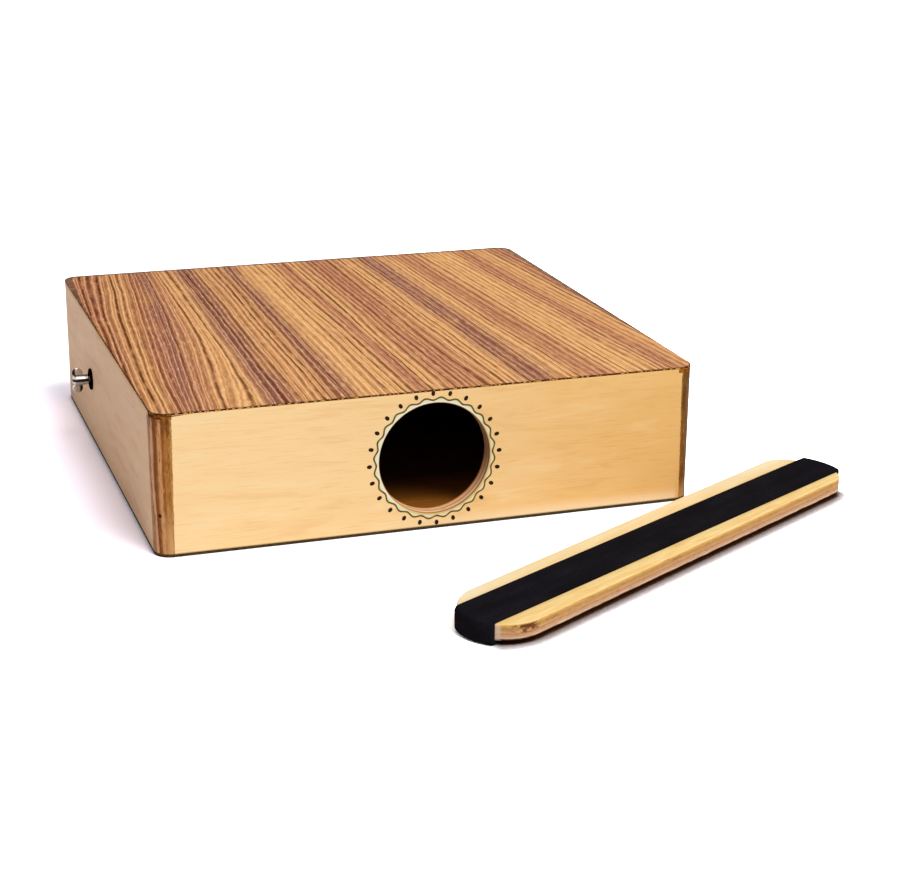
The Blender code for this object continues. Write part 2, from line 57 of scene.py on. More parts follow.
class Body(str, Enum):
    """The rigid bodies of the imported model."""

    BOX = "cajon_body"
    SNARE = "snare_gear"
    BAR = "lap_bar"


def linear(hex_colour: str) -> tuple[float, float, float, float]:
    """Turn an sRGB hex colour into linear RGBA.

    Args:
        hex_colour: Colour such as "#E0A46A".

    Returns:
        Linear red, green, blue and an alpha of 1.
    """
    values = [int(hex_colour[i:i + 2], 16) / 255 for i in (1, 3, 5)]
    parts = [v / 12.92 if v <= 0.04045 else ((v + 0.055) / 1.055) ** 2.4 for v in values]
    return (parts[0], parts[1], parts[2], 1.0)


def add(tree: bpy.types.NodeTree, kind: str, inputs: dict | None = None, **settings) -> bpy.types.Node:
    """Add a shader node with its settings and links.

    Args:
        tree: The node tree to add to.
        kind: The node's type name without its ShaderNode prefix.
        inputs: Input name or index to a value or to an output socket.
        settings: Attributes set on the node.

    Returns:
        The new node.
    """
    node = tree.nodes.new("ShaderNode" + kind)
    for name, value in settings.items():
        setattr(node, name, value)
    for key, value in (inputs or {}).items():
        if isinstance(value, bpy.types.NodeSocket):
            tree.links.new(value, node.inputs[key])
        else:
            node.inputs[key].default_value = value
    return node


def ramp(tree: bpy.types.NodeTree, factor: bpy.types.NodeSocket, stops: list[tuple[float, str]],
         interpolation: str = "LINEAR") -> bpy.types.NodeSocket:
    """Colour ramp from hex colours.

    Args:
        tree: The node tree.
        factor: Socket that drives the ramp.
        stops: Positions with their hex colours, in rising order.
        interpolation: The ramp's interpolation.

    Returns:
        The ramp's colour socket.
    """
    node = add(tree, "ValToRGB", {0: factor})
    elements = node.color_ramp.elements
    node.color_ramp.interpolation = interpolation
    while len(elements) < len(stops):
        elements.new(0.5)
    for element, (position, colour) in zip(elements, stops):
        element.position = position
        element.color = linear(colour)
    return node.outputs[0]


def blend(tree: bpy.types.NodeTree, factor, first, second, mode: str = "MIX") -> bpy.types.NodeSocket:
    """Mix two colours.

    Args:
        tree: The node tree.
        factor: Socket or number, 0 for the first colour and 1 for the second.
        first: Socket or linear colour.
        second: Socket or linear colour.
        mode: Blend type.

    Returns:
        The mixed colour socket.
    """
    node = add(tree, "Mix", data_type="RGBA", blend_type=mode, clamp_factor=True)
    for socket, value in ((node.inputs[0], factor), (node.inputs[6], first), (node.inputs[7], second)):
        if isinstance(value, bpy.types.NodeSocket):
            tree.links.new(value, socket)
        else:
            socket.default_value = value
    return node.outputs[2]


def maths(tree: bpy.types.NodeTree, operation: str, *values, clamp: bool = False) -> bpy.types.NodeSocket:
    """One arithmetic step on sockets and numbers, such as MULTIPLY or SINE."""
    inputs = dict(enumerate(values))
    return add(tree, "Math", inputs, operation=operation, use_clamp=clamp).outputs[0]


def spread(tree: bpy.types.NodeTree, value, low: float, high: float,
           to_low: float = 0.0, to_high: float = 1.0) -> bpy.types.NodeSocket:
    """Map a range smoothly onto another, clamped at both ends."""
    node = add(tree, "MapRange", {0: value, 1: low, 2: high, 3: to_low, 4: to_high},
               interpolation_type="SMOOTHSTEP")
    return node.outputs[0]


def place(tree: bpy.types.NodeTree, cell: tuple[float, float, float],
          centre: tuple[float, float, float] = (0, 0, 0), turn: float = 0.0) -> bpy.types.NodeSocket:
    """Object coordinates, moved to a centre, turned about Z and counted in cells.

    Args:
        tree: The node tree.
        cell: Size of one pattern cell along X, Y and Z, in metres.
        centre: Point of the object that becomes the pattern's origin.
        turn: Angle of the pattern about Z, in radians.

    Returns:
        The vector socket.
    """
    coordinates = add(tree, "TexCoord").outputs["Object"]
    moved = add(tree, "VectorMath", {0: coordinates, 1: centre}, operation="SUBTRACT").outputs[0]
    turned_back = add(tree, "Mapping", {"Vector": moved, "Rotation": (0, 0, -turn)}).outputs[0]
    return add(tree, "VectorMath", {0: turned_back, 1: cell}, operation="DIVIDE").outputs[0]


def noise(tree: bpy.types.NodeTree, vector: bpy.types.NodeSocket, detail: float = 2.0,
          roughness: float = 0.5, distortion: float = 0.0) -> bpy.types.NodeSocket:
    """Fractal noise from 0 to 1, one feature for each unit of the vector."""
    node = add(tree, "TexNoise", {"Vector": vector, "Scale": 1.0, "Detail": detail,
                                  "Roughness": roughness, "Distortion": distortion})
    return node.outputs[0]


def bump(tree: bpy.types.NodeTree, height: bpy.types.NodeSocket, depth: float) -> bpy.types.NodeSocket:
    """Bumped normal of a real depth in metres."""
    node = add(tree, "Bump", {"Height": height, "Distance": depth, "Strength": 1.0})
    return node.outputs[0]


def new_material(name: str) -> tuple[bpy.types.Material, bpy.types.NodeTree, bpy.types.Node]:
    """An empty material with its tree and its Principled shader."""
    material = bpy.data.materials.new(name)
    material.use_nodes = True
    tree = material.node_tree
    return material, tree, tree.nodes["Principled BSDF"]


def axis_of(tree: bpy.types.NodeTree, vector: bpy.types.NodeSocket, index: int) -> bpy.types.NodeSocket:
    """One component of a vector."""
    return add(tree, "SeparateXYZ", {0: vector}).outputs[index]


def object_axes(tree: bpy.types.NodeTree) -> list[bpy.types.NodeSocket]:
    """The three object coordinates, each as one number in metres."""
    return list(add(tree, "SeparateXYZ", {0: add(tree, "TexCoord").outputs["Object"]}).outputs)


def pair(tree: bpy.types.NodeTree, first, second) -> bpy.types.NodeSocket:
    """A vector of two numbers or sockets, for patterns that follow their own coordinates."""
    return add(tree, "CombineXYZ", {0: first, 1: second}).outputs[0]


def swing(tree: bpy.types.NodeTree, vector: bpy.types.NodeSocket, size: float, detail: float = 2.0):
    """Noise about zero, times a size."""
    return maths(tree, "MULTIPLY_ADD", noise(tree, vector, detail), size, -size / 2)


class Tone(str, Enum):
    """Tones of the striped veneer, from its golden bands to its mauve-brown ones."""

    GOLD = "#FABC7C"
    HONEY = "#E8A870"
    CLAY = "#D4926A"
    ROSE = "#C27E5E"
    MAUVE = "#A2685A"
    UMBER = "#945E52"


@dataclass(frozen=True)
class Zebrano:
    """Striped zebrano veneer on a thin plywood panel, sanded and oiled matt.

    Broad golden and mauve-brown bands run front to back and lean a little at both sides. Dark
    growth lines lie about 4 mm apart, with finer ones between them. The veneer's cut edge is dark
    and ragged, and painted shade darkens its rounded rim, wider and greyer to the right and back.
    The bands are given as the distance from the left edge, in millimetres, with their tone.
    """

    half_width: float
    half_depth: float
    corner_radius: float
    top: float
    line: float = 4.0 * MM
    veneer: float = 1.0 * MM
    bands: tuple[tuple[float, Tone], ...] = (
        (0, Tone.ROSE), (5, Tone.ROSE), (13, Tone.HONEY), (21, Tone.HONEY), (28, Tone.ROSE), (38, Tone.MAUVE),
        (47, Tone.CLAY), (54, Tone.HONEY), (62, Tone.GOLD), (71, Tone.MAUVE), (77, Tone.MAUVE), (85, Tone.HONEY),
        (97, Tone.HONEY), (106, Tone.MAUVE), (117, Tone.GOLD), (134, Tone.GOLD), (145, Tone.ROSE), (151, Tone.GOLD),
        (166, Tone.ROSE), (175, Tone.ROSE), (186, Tone.HONEY), (195, Tone.GOLD), (204, Tone.MAUVE), (210, Tone.MAUVE),
        (221, Tone.GOLD), (237, Tone.ROSE), (251, Tone.GOLD), (269, Tone.GOLD), (279, Tone.ROSE), (290, Tone.HONEY),
        (296, Tone.GOLD), (303, Tone.ROSE))

    def edge(self, tree: bpy.types.NodeTree, x, y) -> tuple[bpy.types.NodeSocket, ...]:
        """Distance inwards from the panel's outline, and how far a point lies in the corner's arc."""
        past = [maths(tree, "SUBTRACT", maths(tree, "ABSOLUTE", value), half - self.corner_radius)
                for value, half in ((x, self.half_width), (y, self.half_depth))]
        over = [maths(tree, "MAXIMUM", value, 0.0) for value in past]
        reach = add(tree, "VectorMath", {0: pair(tree, *over)}, operation="LENGTH").outputs["Value"]
        return (maths(tree, "SUBTRACT", self.corner_radius, reach), maths(tree, "MINIMUM", *past),
                maths(tree, "GREATER_THAN", *over))

    def lines(self, tree: bpy.types.NodeTree, across, y) -> bpy.types.NodeSocket:
        """Strength of the dark growth lines: strong ones, and finer ones between them.

        Each line has its own weight, and that changes along it.
        """
        uneven = swing(tree, pair(tree, maths(tree, "DIVIDE", across, 15 * MM), maths(tree, "DIVIDE", y, 0.4)), 2.4)
        dark = 0.0
        for spacing, share, start in ((self.line, 1.0, 7.0), (0.43 * self.line, 0.5, 90.0)):
            count = maths(tree, "ADD", maths(tree, "DIVIDE", across, spacing), uneven)
            phase = maths(tree, "ABSOLUTE", maths(tree, "SUBTRACT", maths(tree, "FRACT", count), 0.5))
            number = maths(tree, "ADD", maths(tree, "FLOOR", count), start)
            weight = add(tree, "TexWhiteNoise", {"W": number}, noise_dimensions="1D").outputs[0]
            along = noise(tree, pair(tree, maths(tree, "MULTIPLY", number, 3.7), maths(tree, "DIVIDE", y, 20 * MM)))
            weight = maths(tree, "MULTIPLY", maths(tree, "MULTIPLY_ADD", weight, 0.55 * share, 0.45 * share),
                           spread(tree, along, 0.30, 0.55, 0.55, 1.0))
            line = maths(tree, "MULTIPLY", spread(tree, phase, 0.05, 0.33, 1.0, 0.0), weight)
            dark = maths(tree, "MAXIMUM", dark, line)
        return dark

    def build(self) -> bpy.types.Material:
        """Make the material."""
        material, tree, shader = new_material("zebrano_veneer")
        x, y, z = object_axes(tree)
        lean = maths(tree, "MULTIPLY_ADD", x, -0.5, -0.012)
        steep = maths(tree, "MULTIPLY", spread(tree, x, -150 * MM, -122 * MM), spread(tree, x, -112 * MM, -90 * MM, 0.06, 0.0))
        across = maths(tree, "SUBTRACT", x, maths(tree, "MULTIPLY", maths(tree, "ADD", lean, steep), y))
        across = maths(tree, "ADD", across, swing(tree, place(tree, (24 * MM, 80 * MM, 1.0)), 3 * MM))
        across = maths(tree, "ADD", across, swing(tree, place(tree, (5 * MM, 10 * MM, 1.0)), 0.9 * MM))
        drift = swing(tree, place(tree, (9 * MM, 60 * MM, 1.0)), 5 * MM, 3.0)
        share = maths(tree, "ADD", maths(tree, "DIVIDE", maths(tree, "ADD", across, drift),
                                         2 * self.half_width), 0.5)
        width = 2 * self.half_width / MM
        base = ramp(tree, share, [(distance / width, tone.value) for distance, tone in self.bands])
        tint = noise(tree, place(tree, (16 * MM, 60 * MM, 1.0)), 2.0)
        base = blend(tree, spread(tree, tint, 0.50, 0.72, 0.0, 0.32), base, linear("#F2B068"))
        base = blend(tree, spread(tree, tint, 0.30, 0.46, 0.28, 0.0), base, linear("#B4705C"))
        fine_at = pair(tree, maths(tree, "DIVIDE", across, 0.9 * MM), maths(tree, "DIVIDE", y, 9 * MM))
        fine = noise(tree, fine_at, 3.0, 0.65)
        base = blend(tree, spread(tree, fine, 0.50, 0.70, 0.0, 0.50), base, linear("#8A5230"))
        base = blend(tree, spread(tree, fine, 0.30, 0.48, 0.65, 0.0), base, linear("#FFD4A4"))
        lines = self.lines(tree, across, y)
        base = blend(tree, spread(tree, lines, 0.0, 0.12, 0.30, 0.0), base, linear("#FFD4A2"))
        strong = spread(tree, x, -0.14, 0.10, 0.98, 0.82)
        colour = blend(tree, maths(tree, "MULTIPLY", lines, strong), base, linear("#5A2C12"))
        inward, in_corner, on_side = self.edge(tree, x, y)
        ragged = noise(tree, place(tree, (1.8 * MM, 1.8 * MM, 1.0)), 3.0, 0.6)
        colour = self.rim(tree, x, y, inward, ragged, colour)
        tip = spread(tree, ragged, 0.42, 0.54)
        edge = ramp(tree, tip, [(0.0, "#C8924E"), (0.45, "#7A4A20"), (1.0, "#2E1608")])
        height = maths(tree, "SUBTRACT", self.top, z)
        rough_cut = maths(tree, "MULTIPLY_ADD", ragged, 0.9 * MM, height)
        skin = spread(tree, rough_cut, self.veneer + 0.35 * MM, self.veneer + 0.6 * MM, 1.0, 0.0)
        face = BirchFace(Grain.ALONG_X).colour(tree)
        side = BirchFace(Grain.ALONG_Y).colour(tree)
        core = blend(tree, on_side, face, side)
        streak = noise(tree, place(tree, (2.5 * MM, 2.5 * MM, 0.7 * MM)), 2.0)
        plies = ramp(tree, streak, [(0.34, "#5E3210"), (0.5, "#9A5A20"), (0.66, "#C88436")])
        plies = blend(tree, spread(tree, maths(tree, "ABSOLUTE", x), 148.5 * MM, 151.5 * MM, 0.0, 0.7), plies,
                      linear("#3A2412"))
        core = blend(tree, spread(tree, maths(tree, "MULTIPLY_ADD", ragged, 1.2 * MM, in_corner), -1.0 * MM, -0.4 * MM),
                     core, plies)
        # Painted shadow in the open joint under the panel at its front left corner.
        core = blend(tree, self.joint_shadow(tree, x, y, height), core, linear("#4A3626"))
        lower = blend(tree, skin, core, edge)
        on_top = spread(tree, height, 0.05 * MM, 0.25 * MM, 1.0, 0.0)
        tree.links.new(blend(tree, on_top, lower, colour), shader.inputs["Base Color"])
        tree.links.new(spread(tree, fine, 0.3, 0.7, 0.55, 0.7), shader.inputs["Roughness"])
        shader.inputs["Specular IOR Level"].default_value = 0.0
        tree.links.new(bump(tree, fine, 0.02 * MM), shader.inputs["Normal"])
        return material

    def rim(self, tree: bpy.types.NodeTree, x, y, inward, ragged, colour) -> bpy.types.NodeSocket:
        """Colour with the ragged dark rim: the dark cut edge, narrow and brown in front, and painted shade of the
        rounded rim, wider and greyer to the right and back.
        """
        far = spread(tree, maths(tree, "MULTIPLY_ADD", y, 2.0, x), -0.15, 0.25)
        wide = maths(tree, "MULTIPLY_ADD", far, 3.2 * MM, 1.1 * MM)
        reach = maths(tree, "SUBTRACT", maths(tree, "MULTIPLY_ADD", ragged, 1.6 * MM, inward), wide)
        dashes = noise(tree, place(tree, (9 * MM, 9 * MM, 1.0)), 2.0)
        share = maths(tree, "MULTIPLY", spread(tree, reach, -0.3 * MM, 0.8 * MM, 0.9, 0.0),
                      spread(tree, dashes, 0.38, 0.52, 0.55, 1.0))
        tone = blend(tree, far, linear("#4A2A16"), linear("#7A6656"))
        return blend(tree, share, colour, tone)

    def joint_shadow(self, tree: bpy.types.NodeTree, x, y, height) -> bpy.types.NodeSocket:
        """Painted shadow of the joint that opens under the panel towards its front left corner: a dark wedge."""
        opening = maths(tree, "MULTIPLY", spread(tree, x, -144 * MM, -131 * MM, 0.6 * MM, 0.0),
                        spread(tree, x, -151 * MM, -146 * MM))
        start = self.veneer + 0.2 * MM
        below = maths(tree, "GREATER_THAN", height, start)
        above = maths(tree, "LESS_THAN", height, maths(tree, "ADD", opening, start))
        front = maths(tree, "LESS_THAN", y, -self.half_depth + 4 * MM)
        return maths(tree, "MULTIPLY", maths(tree, "MULTIPLY", below, above), front)


class Grain(Enum):
    """Direction in which a wall's face veneer runs."""

    ALONG_X = 0
    ALONG_Y = 1


@dataclass(frozen=True)
class BirchFace:
    """Pale birch face veneer: cream, softly mottled, golden to the right, and pinkish on the left wall as a painted
    tint of its shade.
    """

    grain: Grain

    def colour(self, tree: bpy.types.NodeTree) -> bpy.types.NodeSocket:
        """Colour of the face in object coordinates, with its long grain along X or Y."""
        x, _, z = object_axes(tree)
        along = self.grain is Grain.ALONG_X
        cells = ((50, 90, 8), (22, 40, 0.8), (34, 60, 17)) if along else ((90, 50, 8), (40, 22, 0.8), (60, 34, 17))
        figure, fine, patch = (place(tree, tuple(size * MM for size in cell)) for cell in cells)
        if along:
            gold = maths(tree, "MULTIPLY_ADD", z, -0.3, x)
            gold = maths(tree, "ADD", gold, swing(tree, patch, 100 * MM, 3.0))
            share = spread(tree, gold, -95 * MM, 150 * MM)
            base = blend(tree, share, linear("#FFDAA2"), linear("#F8C67C"))
            dark = blend(tree, share, linear("#F4C88E"), linear("#EAB466"))
            light = blend(tree, share, linear("#FFE4B4"), linear("#FFD898"))
            line = blend(tree, share, linear("#EAB878"), linear("#DEA660"))
        else:
            # Side walls: the left one is pinkish, a painted tint of the shade on it, and the right one turns golden.
            share = spread(tree, x, -0.1, 0.1)
            base = blend(tree, noise(tree, patch, 2.0), linear("#EFC3A0"), linear("#F2CAA6"))
            base = blend(tree, share, base, linear("#F6CF9A"))
            dark = blend(tree, share, linear("#E2AC88"), linear("#E6B67E"))
            light = blend(tree, share, linear("#F8D6B2"), linear("#FCDCAC"))
            line = blend(tree, share, linear("#D8A078"), linear("#DCA86E"))
        cloud = noise(tree, figure, 4.0, 0.6, 0.6)
        base = blend(tree, spread(tree, cloud, 0.52, 0.70, 0.0, 0.55), base, dark)
        base = blend(tree, spread(tree, cloud, 0.32, 0.47, 0.50, 0.0), base, light)
        hair = noise(tree, fine, 3.0, 0.65, 0.3)
        return blend(tree, spread(tree, hair, 0.52, 0.72, 0.0, 0.40), base, line)


@dataclass(frozen=True)
class EndGrain:
    """Plies of a side wall as they show at its ends, from the outer face inwards.

    The plies are given as shares of the wall's thickness with their tones. Vertical streaks and
    patches run through them, darker towards the top, and the front wall's face veneer laps over
    the innermost part, by one width at the foot and another at the top. The outer veneer is sanded
    through further back towards the top. The plies are darker between two heights and paler at the
    foot. A small dark knot lies at one point, where one is given.
    """

    plies: tuple[tuple[float, str], ...]
    dark: str
    light: str
    dark_span: tuple[float, float]
    foot: tuple[float, float]
    lap: tuple[float, float] | None = None
    back: float = 0.0
    knot: tuple[float, float, float] | None = None


LEFT_END = EndGrain(((0.0, "#B88460"), (0.006, "#8A5A3C"), (0.014, "#9C6A4A"), (0.030, "#E8B088"), (0.09, "#E2A87C"), (0.13, "#8E4E20"),
                     (0.26, "#945628"), (0.34, "#DA9C68"), (0.47, "#DEA06C"), (0.54, "#985820"), (0.64, "#9C6028"),
                     (0.70, "#B2783A"), (0.90, "#A66C30"), (1.0, "#B47C3E")),
                    "#5A2C08", "#EAB67C", (66 * MM, 84 * MM), (4.2 * MM, 36 * MM), None, 4.5 * MM, (-149.7 * MM, -150.0 * MM, 22.8 * MM))
RIGHT_END = EndGrain(((0.0, "#8A7054"), (0.30, "#7E5C38"), (0.42, "#76522C"), (0.55, "#80541E"), (0.72, "#8A5420"),
                      (0.78, "#A46C30"), (0.84, "#C08A4A"), (1.0, "#D09C58")), "#33200A", "#D8A468", (50 * MM, 66 * MM),
                     (2.4 * MM, 14 * MM), (2.0 * MM, 0.9 * MM))


@dataclass(frozen=True)
class BirchWall:
    """Birch plywood wall, sanded and lacquered satin, raw on its inner face; the inner face is painted dark as the
    shade inside the box, and painted shade runs along the wall's foot.
    """

    name: str
    grain: Grain
    outer: float
    thickness: float
    side: int
    low: float
    high: float
    end: EndGrain = LEFT_END

    def plies(self, tree: bpy.types.NodeTree, depth, z) -> bpy.types.NodeSocket:
        """Colour of the plies against the depth below the outer face."""
        streak = swing(tree, place(tree, (0.8 * MM, 0.8 * MM, 10 * MM)), 0.9 * MM, 3.0)
        layer = maths(tree, "DIVIDE", maths(tree, "ADD", depth, streak), self.thickness)
        colour = ramp(tree, layer, list(self.end.plies))
        hair = noise(tree, place(tree, (0.6 * MM, 0.6 * MM, 4 * MM)), 3.0, 0.65)
        stain = noise(tree, place(tree, (2.4 * MM, 2.4 * MM, 9 * MM)), 3.0, 0.6)
        both = maths(tree, "MULTIPLY_ADD", hair, 0.6, maths(tree, "MULTIPLY", stain, 0.4))
        rise = spread(tree, z, self.high - 16 * MM, self.high, 0.0, 0.06)
        both = maths(tree, "ADD", both, rise)
        colour = blend(tree, spread(tree, both, 0.50, 0.66, 0.0, 0.8), colour, linear(self.end.dark))
        colour = blend(tree, spread(tree, both, 0.32, 0.46, 0.6, 0.0), colour, linear(self.end.light))
        # The plies darken between two heights, deep below the outer face.
        start, stop = self.end.dark_span
        dark_span = maths(tree, "MULTIPLY", spread(tree, z, start, start + 5 * MM), spread(tree, z, stop, stop + 4 * MM, 1.0, 0.0))
        within = spread(tree, depth, 4.2 * MM, 5.2 * MM)
        colour = blend(tree, maths(tree, "MULTIPLY", maths(tree, "MULTIPLY", dark_span, within), 0.45), colour,
                       linear(self.end.dark))
        inward, tall = self.end.foot
        foot = maths(tree, "MULTIPLY", spread(tree, z, 4 * MM, tall, 0.55, 0.0), spread(tree, depth, inward, inward + MM))
        colour = blend(tree, foot, colour, linear(self.end.light))
        if self.end.knot:
            away = add(tree, "VectorMath", {0: add(tree, "TexCoord").outputs["Object"], 1: self.end.knot},
                       operation="DISTANCE").outputs["Value"]
            colour = blend(tree, spread(tree, away, 0.8 * MM, 1.5 * MM, 0.95, 0.0), colour, linear("#2A1004"))
        if self.end.lap:
            rough = noise(tree, place(tree, (2 * MM, 2 * MM, 1.6 * MM)), 2.0)
            lap = maths(tree, "MULTIPLY_ADD", rough, 0.8 * MM, spread(tree, z, 0.0, self.high, *self.end.lap))
            lapped = maths(tree, "SUBTRACT", self.thickness + 0.4 * MM, maths(tree, "ADD", lap, depth))
            face = BirchFace(Grain.ALONG_X).colour(tree)
            colour = blend(tree, spread(tree, lapped, -0.1 * MM, 0.1 * MM, 1.0, 0.0), colour, face)
        return colour

    def face(self, tree: bpy.types.NodeTree, x, z) -> bpy.types.NodeSocket:
        """Colour of the outer face."""
        return BirchFace(self.grain).colour(tree)

    def build(self) -> bpy.types.Material:
        """Make the material."""
        material, tree, shader = new_material(self.name)
        x, y, z = object_axes(tree)
        across = y if self.grain is Grain.ALONG_X else x
        depth = maths(tree, "MULTIPLY_ADD", across, -self.side, self.outer)
        shown = spread(tree, depth, 0.005 * MM, 0.08 * MM)
        layers = depth
        if self.end.back and self.grain is Grain.ALONG_Y:
            rough = swing(tree, place(tree, (3 * MM, 3 * MM, 14 * MM)), 1.4 * MM)
            past = maths(tree, "ADD", maths(tree, "ADD", y, rough), self.outer - self.thickness)
            worn = spread(tree, maths(tree, "MULTIPLY_ADD", z, -self.end.back / self.high, past), 0.0, 1.2 * MM, 1.0, 0.0)
            shown = maths(tree, "MAXIMUM", shown, worn)
            layers = maths(tree, "SUBTRACT", depth, spread(tree, past, -1.5 * MM, 0.0, 0.0, 0.5 * MM))
            layers = maths(tree, "SUBTRACT", layers, spread(tree, z, 4 * MM, 45 * MM, 0.9 * MM, 0.0))
        colour = blend(tree, shown, self.face(tree, x, z), self.plies(tree, layers, z))
        # Painted shade along the wall's foot, where it meets the sheet.
        colour = blend(tree, spread(tree, z, self.low, self.low + 0.8 * MM, 0.6, 0.0), colour, linear("#6E5430"))
        # Inner face: raw wood painted dark as the shade inside the closed box.
        raw = noise(tree, place(tree, (40 * MM, 40 * MM, 6 * MM)), 3.0)
        inside = ramp(tree, raw, [(0.3, "#2E1B0C"), (0.7, "#4A2E16")])
        within = spread(tree, depth, self.thickness - 0.12 * MM, self.thickness - 0.02 * MM)
        if self.grain is Grain.ALONG_Y:
            within = maths(tree, "MULTIPLY", within, spread(tree, maths(tree, "ABSOLUTE", y), self.outer - 4 * MM,
                                                            self.outer - 3 * MM, 1.0, 0.0))
        tree.links.new(blend(tree, within, colour, inside), shader.inputs["Base Color"])
        gloss = noise(tree, place(tree, (20 * MM, 20 * MM, 4 * MM)), 2.0)
        tree.links.new(spread(tree, gloss, 0.2, 0.8, 0.45, 0.6), shader.inputs["Roughness"])
        shader.inputs["Specular IOR Level"].default_value = 0.08
        tree.links.new(bump(tree, gloss, 0.015 * MM), shader.inputs["Normal"])
        return material


@dataclass(frozen=True)
class FrontPly(BirchWall):
    """The front wall, whose plies show only round the sound hole, paler and pinkish.

    A brown line runs along the joint at its left end, wider towards the top.
    """

    def face(self, tree: bpy.types.NodeTree, x, z) -> bpy.types.NodeSocket:
        """Colour of the outer face with the joint's line."""
        rough = swing(tree, place(tree, (1.5 * MM, 1.5 * MM, 2.5 * MM)), 0.7 * MM)
        end = maths(tree, "ADD", maths(tree, "ADD", x, self.outer - self.thickness), rough)
        line = maths(tree, "SUBTRACT", end, spread(tree, z, 0.0, self.high, 0.4 * MM, 1.0 * MM))
        hair = noise(tree, place(tree, (0.5 * MM, 0.5 * MM, 6 * MM)), 3.0, 0.65)
        foot = maths(tree, "MULTIPLY", spread(tree, z, 2 * MM, 9 * MM, 0.8, 0.0), spread(tree, x, -60 * MM, 60 * MM))
        wood = blend(tree, foot, BirchFace(self.grain).colour(tree), linear("#FFE2B8"))
        return blend(tree, spread(tree, line, -0.15 * MM, 0.35 * MM, 1.0, 0.0), wood,
                     ramp(tree, hair, [(0.35, "#8E5C2C"), (0.5, "#B07C44"), (0.65, "#CE9C60")]))

    def plies(self, tree: bpy.types.NodeTree, depth, z) -> bpy.types.NodeSocket:
        """Colour of the plies against the depth below the outer face, in wall thicknesses."""
        streak = swing(tree, place(tree, (6 * MM, 0.5 * MM, 6 * MM)), 0.6 * MM, 3.0)
        layer = maths(tree, "DIVIDE", maths(tree, "ADD", depth, streak), self.thickness)
        colour = ramp(tree, layer, [(0.0, "#C29A5C"), (0.05, "#A8783E"), (0.11, "#B07840"), (0.18, "#FFD2A2"),
                                    (0.36, "#FFD6AA"), (0.42, "#D09464"), (0.52, "#E0A272"), (0.60, "#FFD0A0"),
                                    (0.80, "#FFC28C"), (0.88, "#C87E4A"), (1.0, "#B0642E")])
        stain = noise(tree, place(tree, (9 * MM, 2 * MM, 9 * MM)), 3.0, 0.6)
        colour = blend(tree, spread(tree, stain, 0.54, 0.70, 0.0, 0.40), colour, linear("#A8703E"))
        height = spread(tree, z, 20 * MM, 42 * MM, 0.0, 0.75)
        return blend(tree, height, colour, linear("#6E5038"))


@dataclass(frozen=True)
class ShadedBottom:
    """Raw plywood bottom and its cleats seen through the sound hole, painted with light and shade: amber near the hole
    at the front, dark behind, and darker on the front cleat.
    """

    front: float

    def build(self) -> bpy.types.Material:
        """Make the material."""
        material, tree, shader = new_material("raw_bottom_plywood")
        _, y, _ = object_axes(tree)
        figure = noise(tree, place(tree, (80 * MM, 5 * MM, 1.0)), 3.0, 0.6, 0.4)
        behind = maths(tree, "MULTIPLY_ADD", figure, 6 * MM, maths(tree, "SUBTRACT", y, self.front + 3 * MM))
        share = maths(tree, "DIVIDE", behind, 60 * MM)
        # Painted light from the sound hole: amber near the front, fading to painted shade behind.
        colour = ramp(tree, share, [(0.0, "#C8802C"), (0.2, "#B87424"), (0.45, "#86521A"), (1.0, "#38220E")])
        # Painted shade darkens the front cleat's top.
        on_cleat = maths(tree, "LESS_THAN", y, self.front + 10.2 * MM)
        colour = blend(tree, maths(tree, "MULTIPLY", on_cleat, 0.60), colour, linear("#2E1A08"))
        tree.links.new(colour, shader.inputs["Base Color"])
        tree.links.new(spread(tree, figure, 0.3, 0.7, 0.7, 0.85), shader.inputs["Roughness"])
        shader.inputs["Specular IOR Level"].default_value = 0.1
        tree.links.new(bump(tree, figure, 0.05 * MM), shader.inputs["Normal"])
        return material


@dataclass(frozen=True)
class RawWood:
    """Planed softwood or beech, left raw: matt, with long grain and small dark flecks."""

    name: str
    grain: tuple[float, float, float]
    colours: tuple[str, str, str]

    def build(self) -> bpy.types.Material:
        """Make the material."""
        material, tree, shader = new_material(self.name)
        figure = noise(tree, place(tree, self.grain), 3.0, 0.6, 0.4)
        dark, mid, light = self.colours
        colour = ramp(tree, figure, [(0.32, dark), (0.5, mid), (0.68, light)])
        tree.links.new(colour, shader.inputs["Base Color"])
        tree.links.new(spread(tree, figure, 0.3, 0.7, 0.62, 0.78), shader.inputs["Roughness"])
        shader.inputs["Specular IOR Level"].default_value = 0.2
        tree.links.new(bump(tree, figure, 0.05 * MM), shader.inputs["Normal"])
        return material


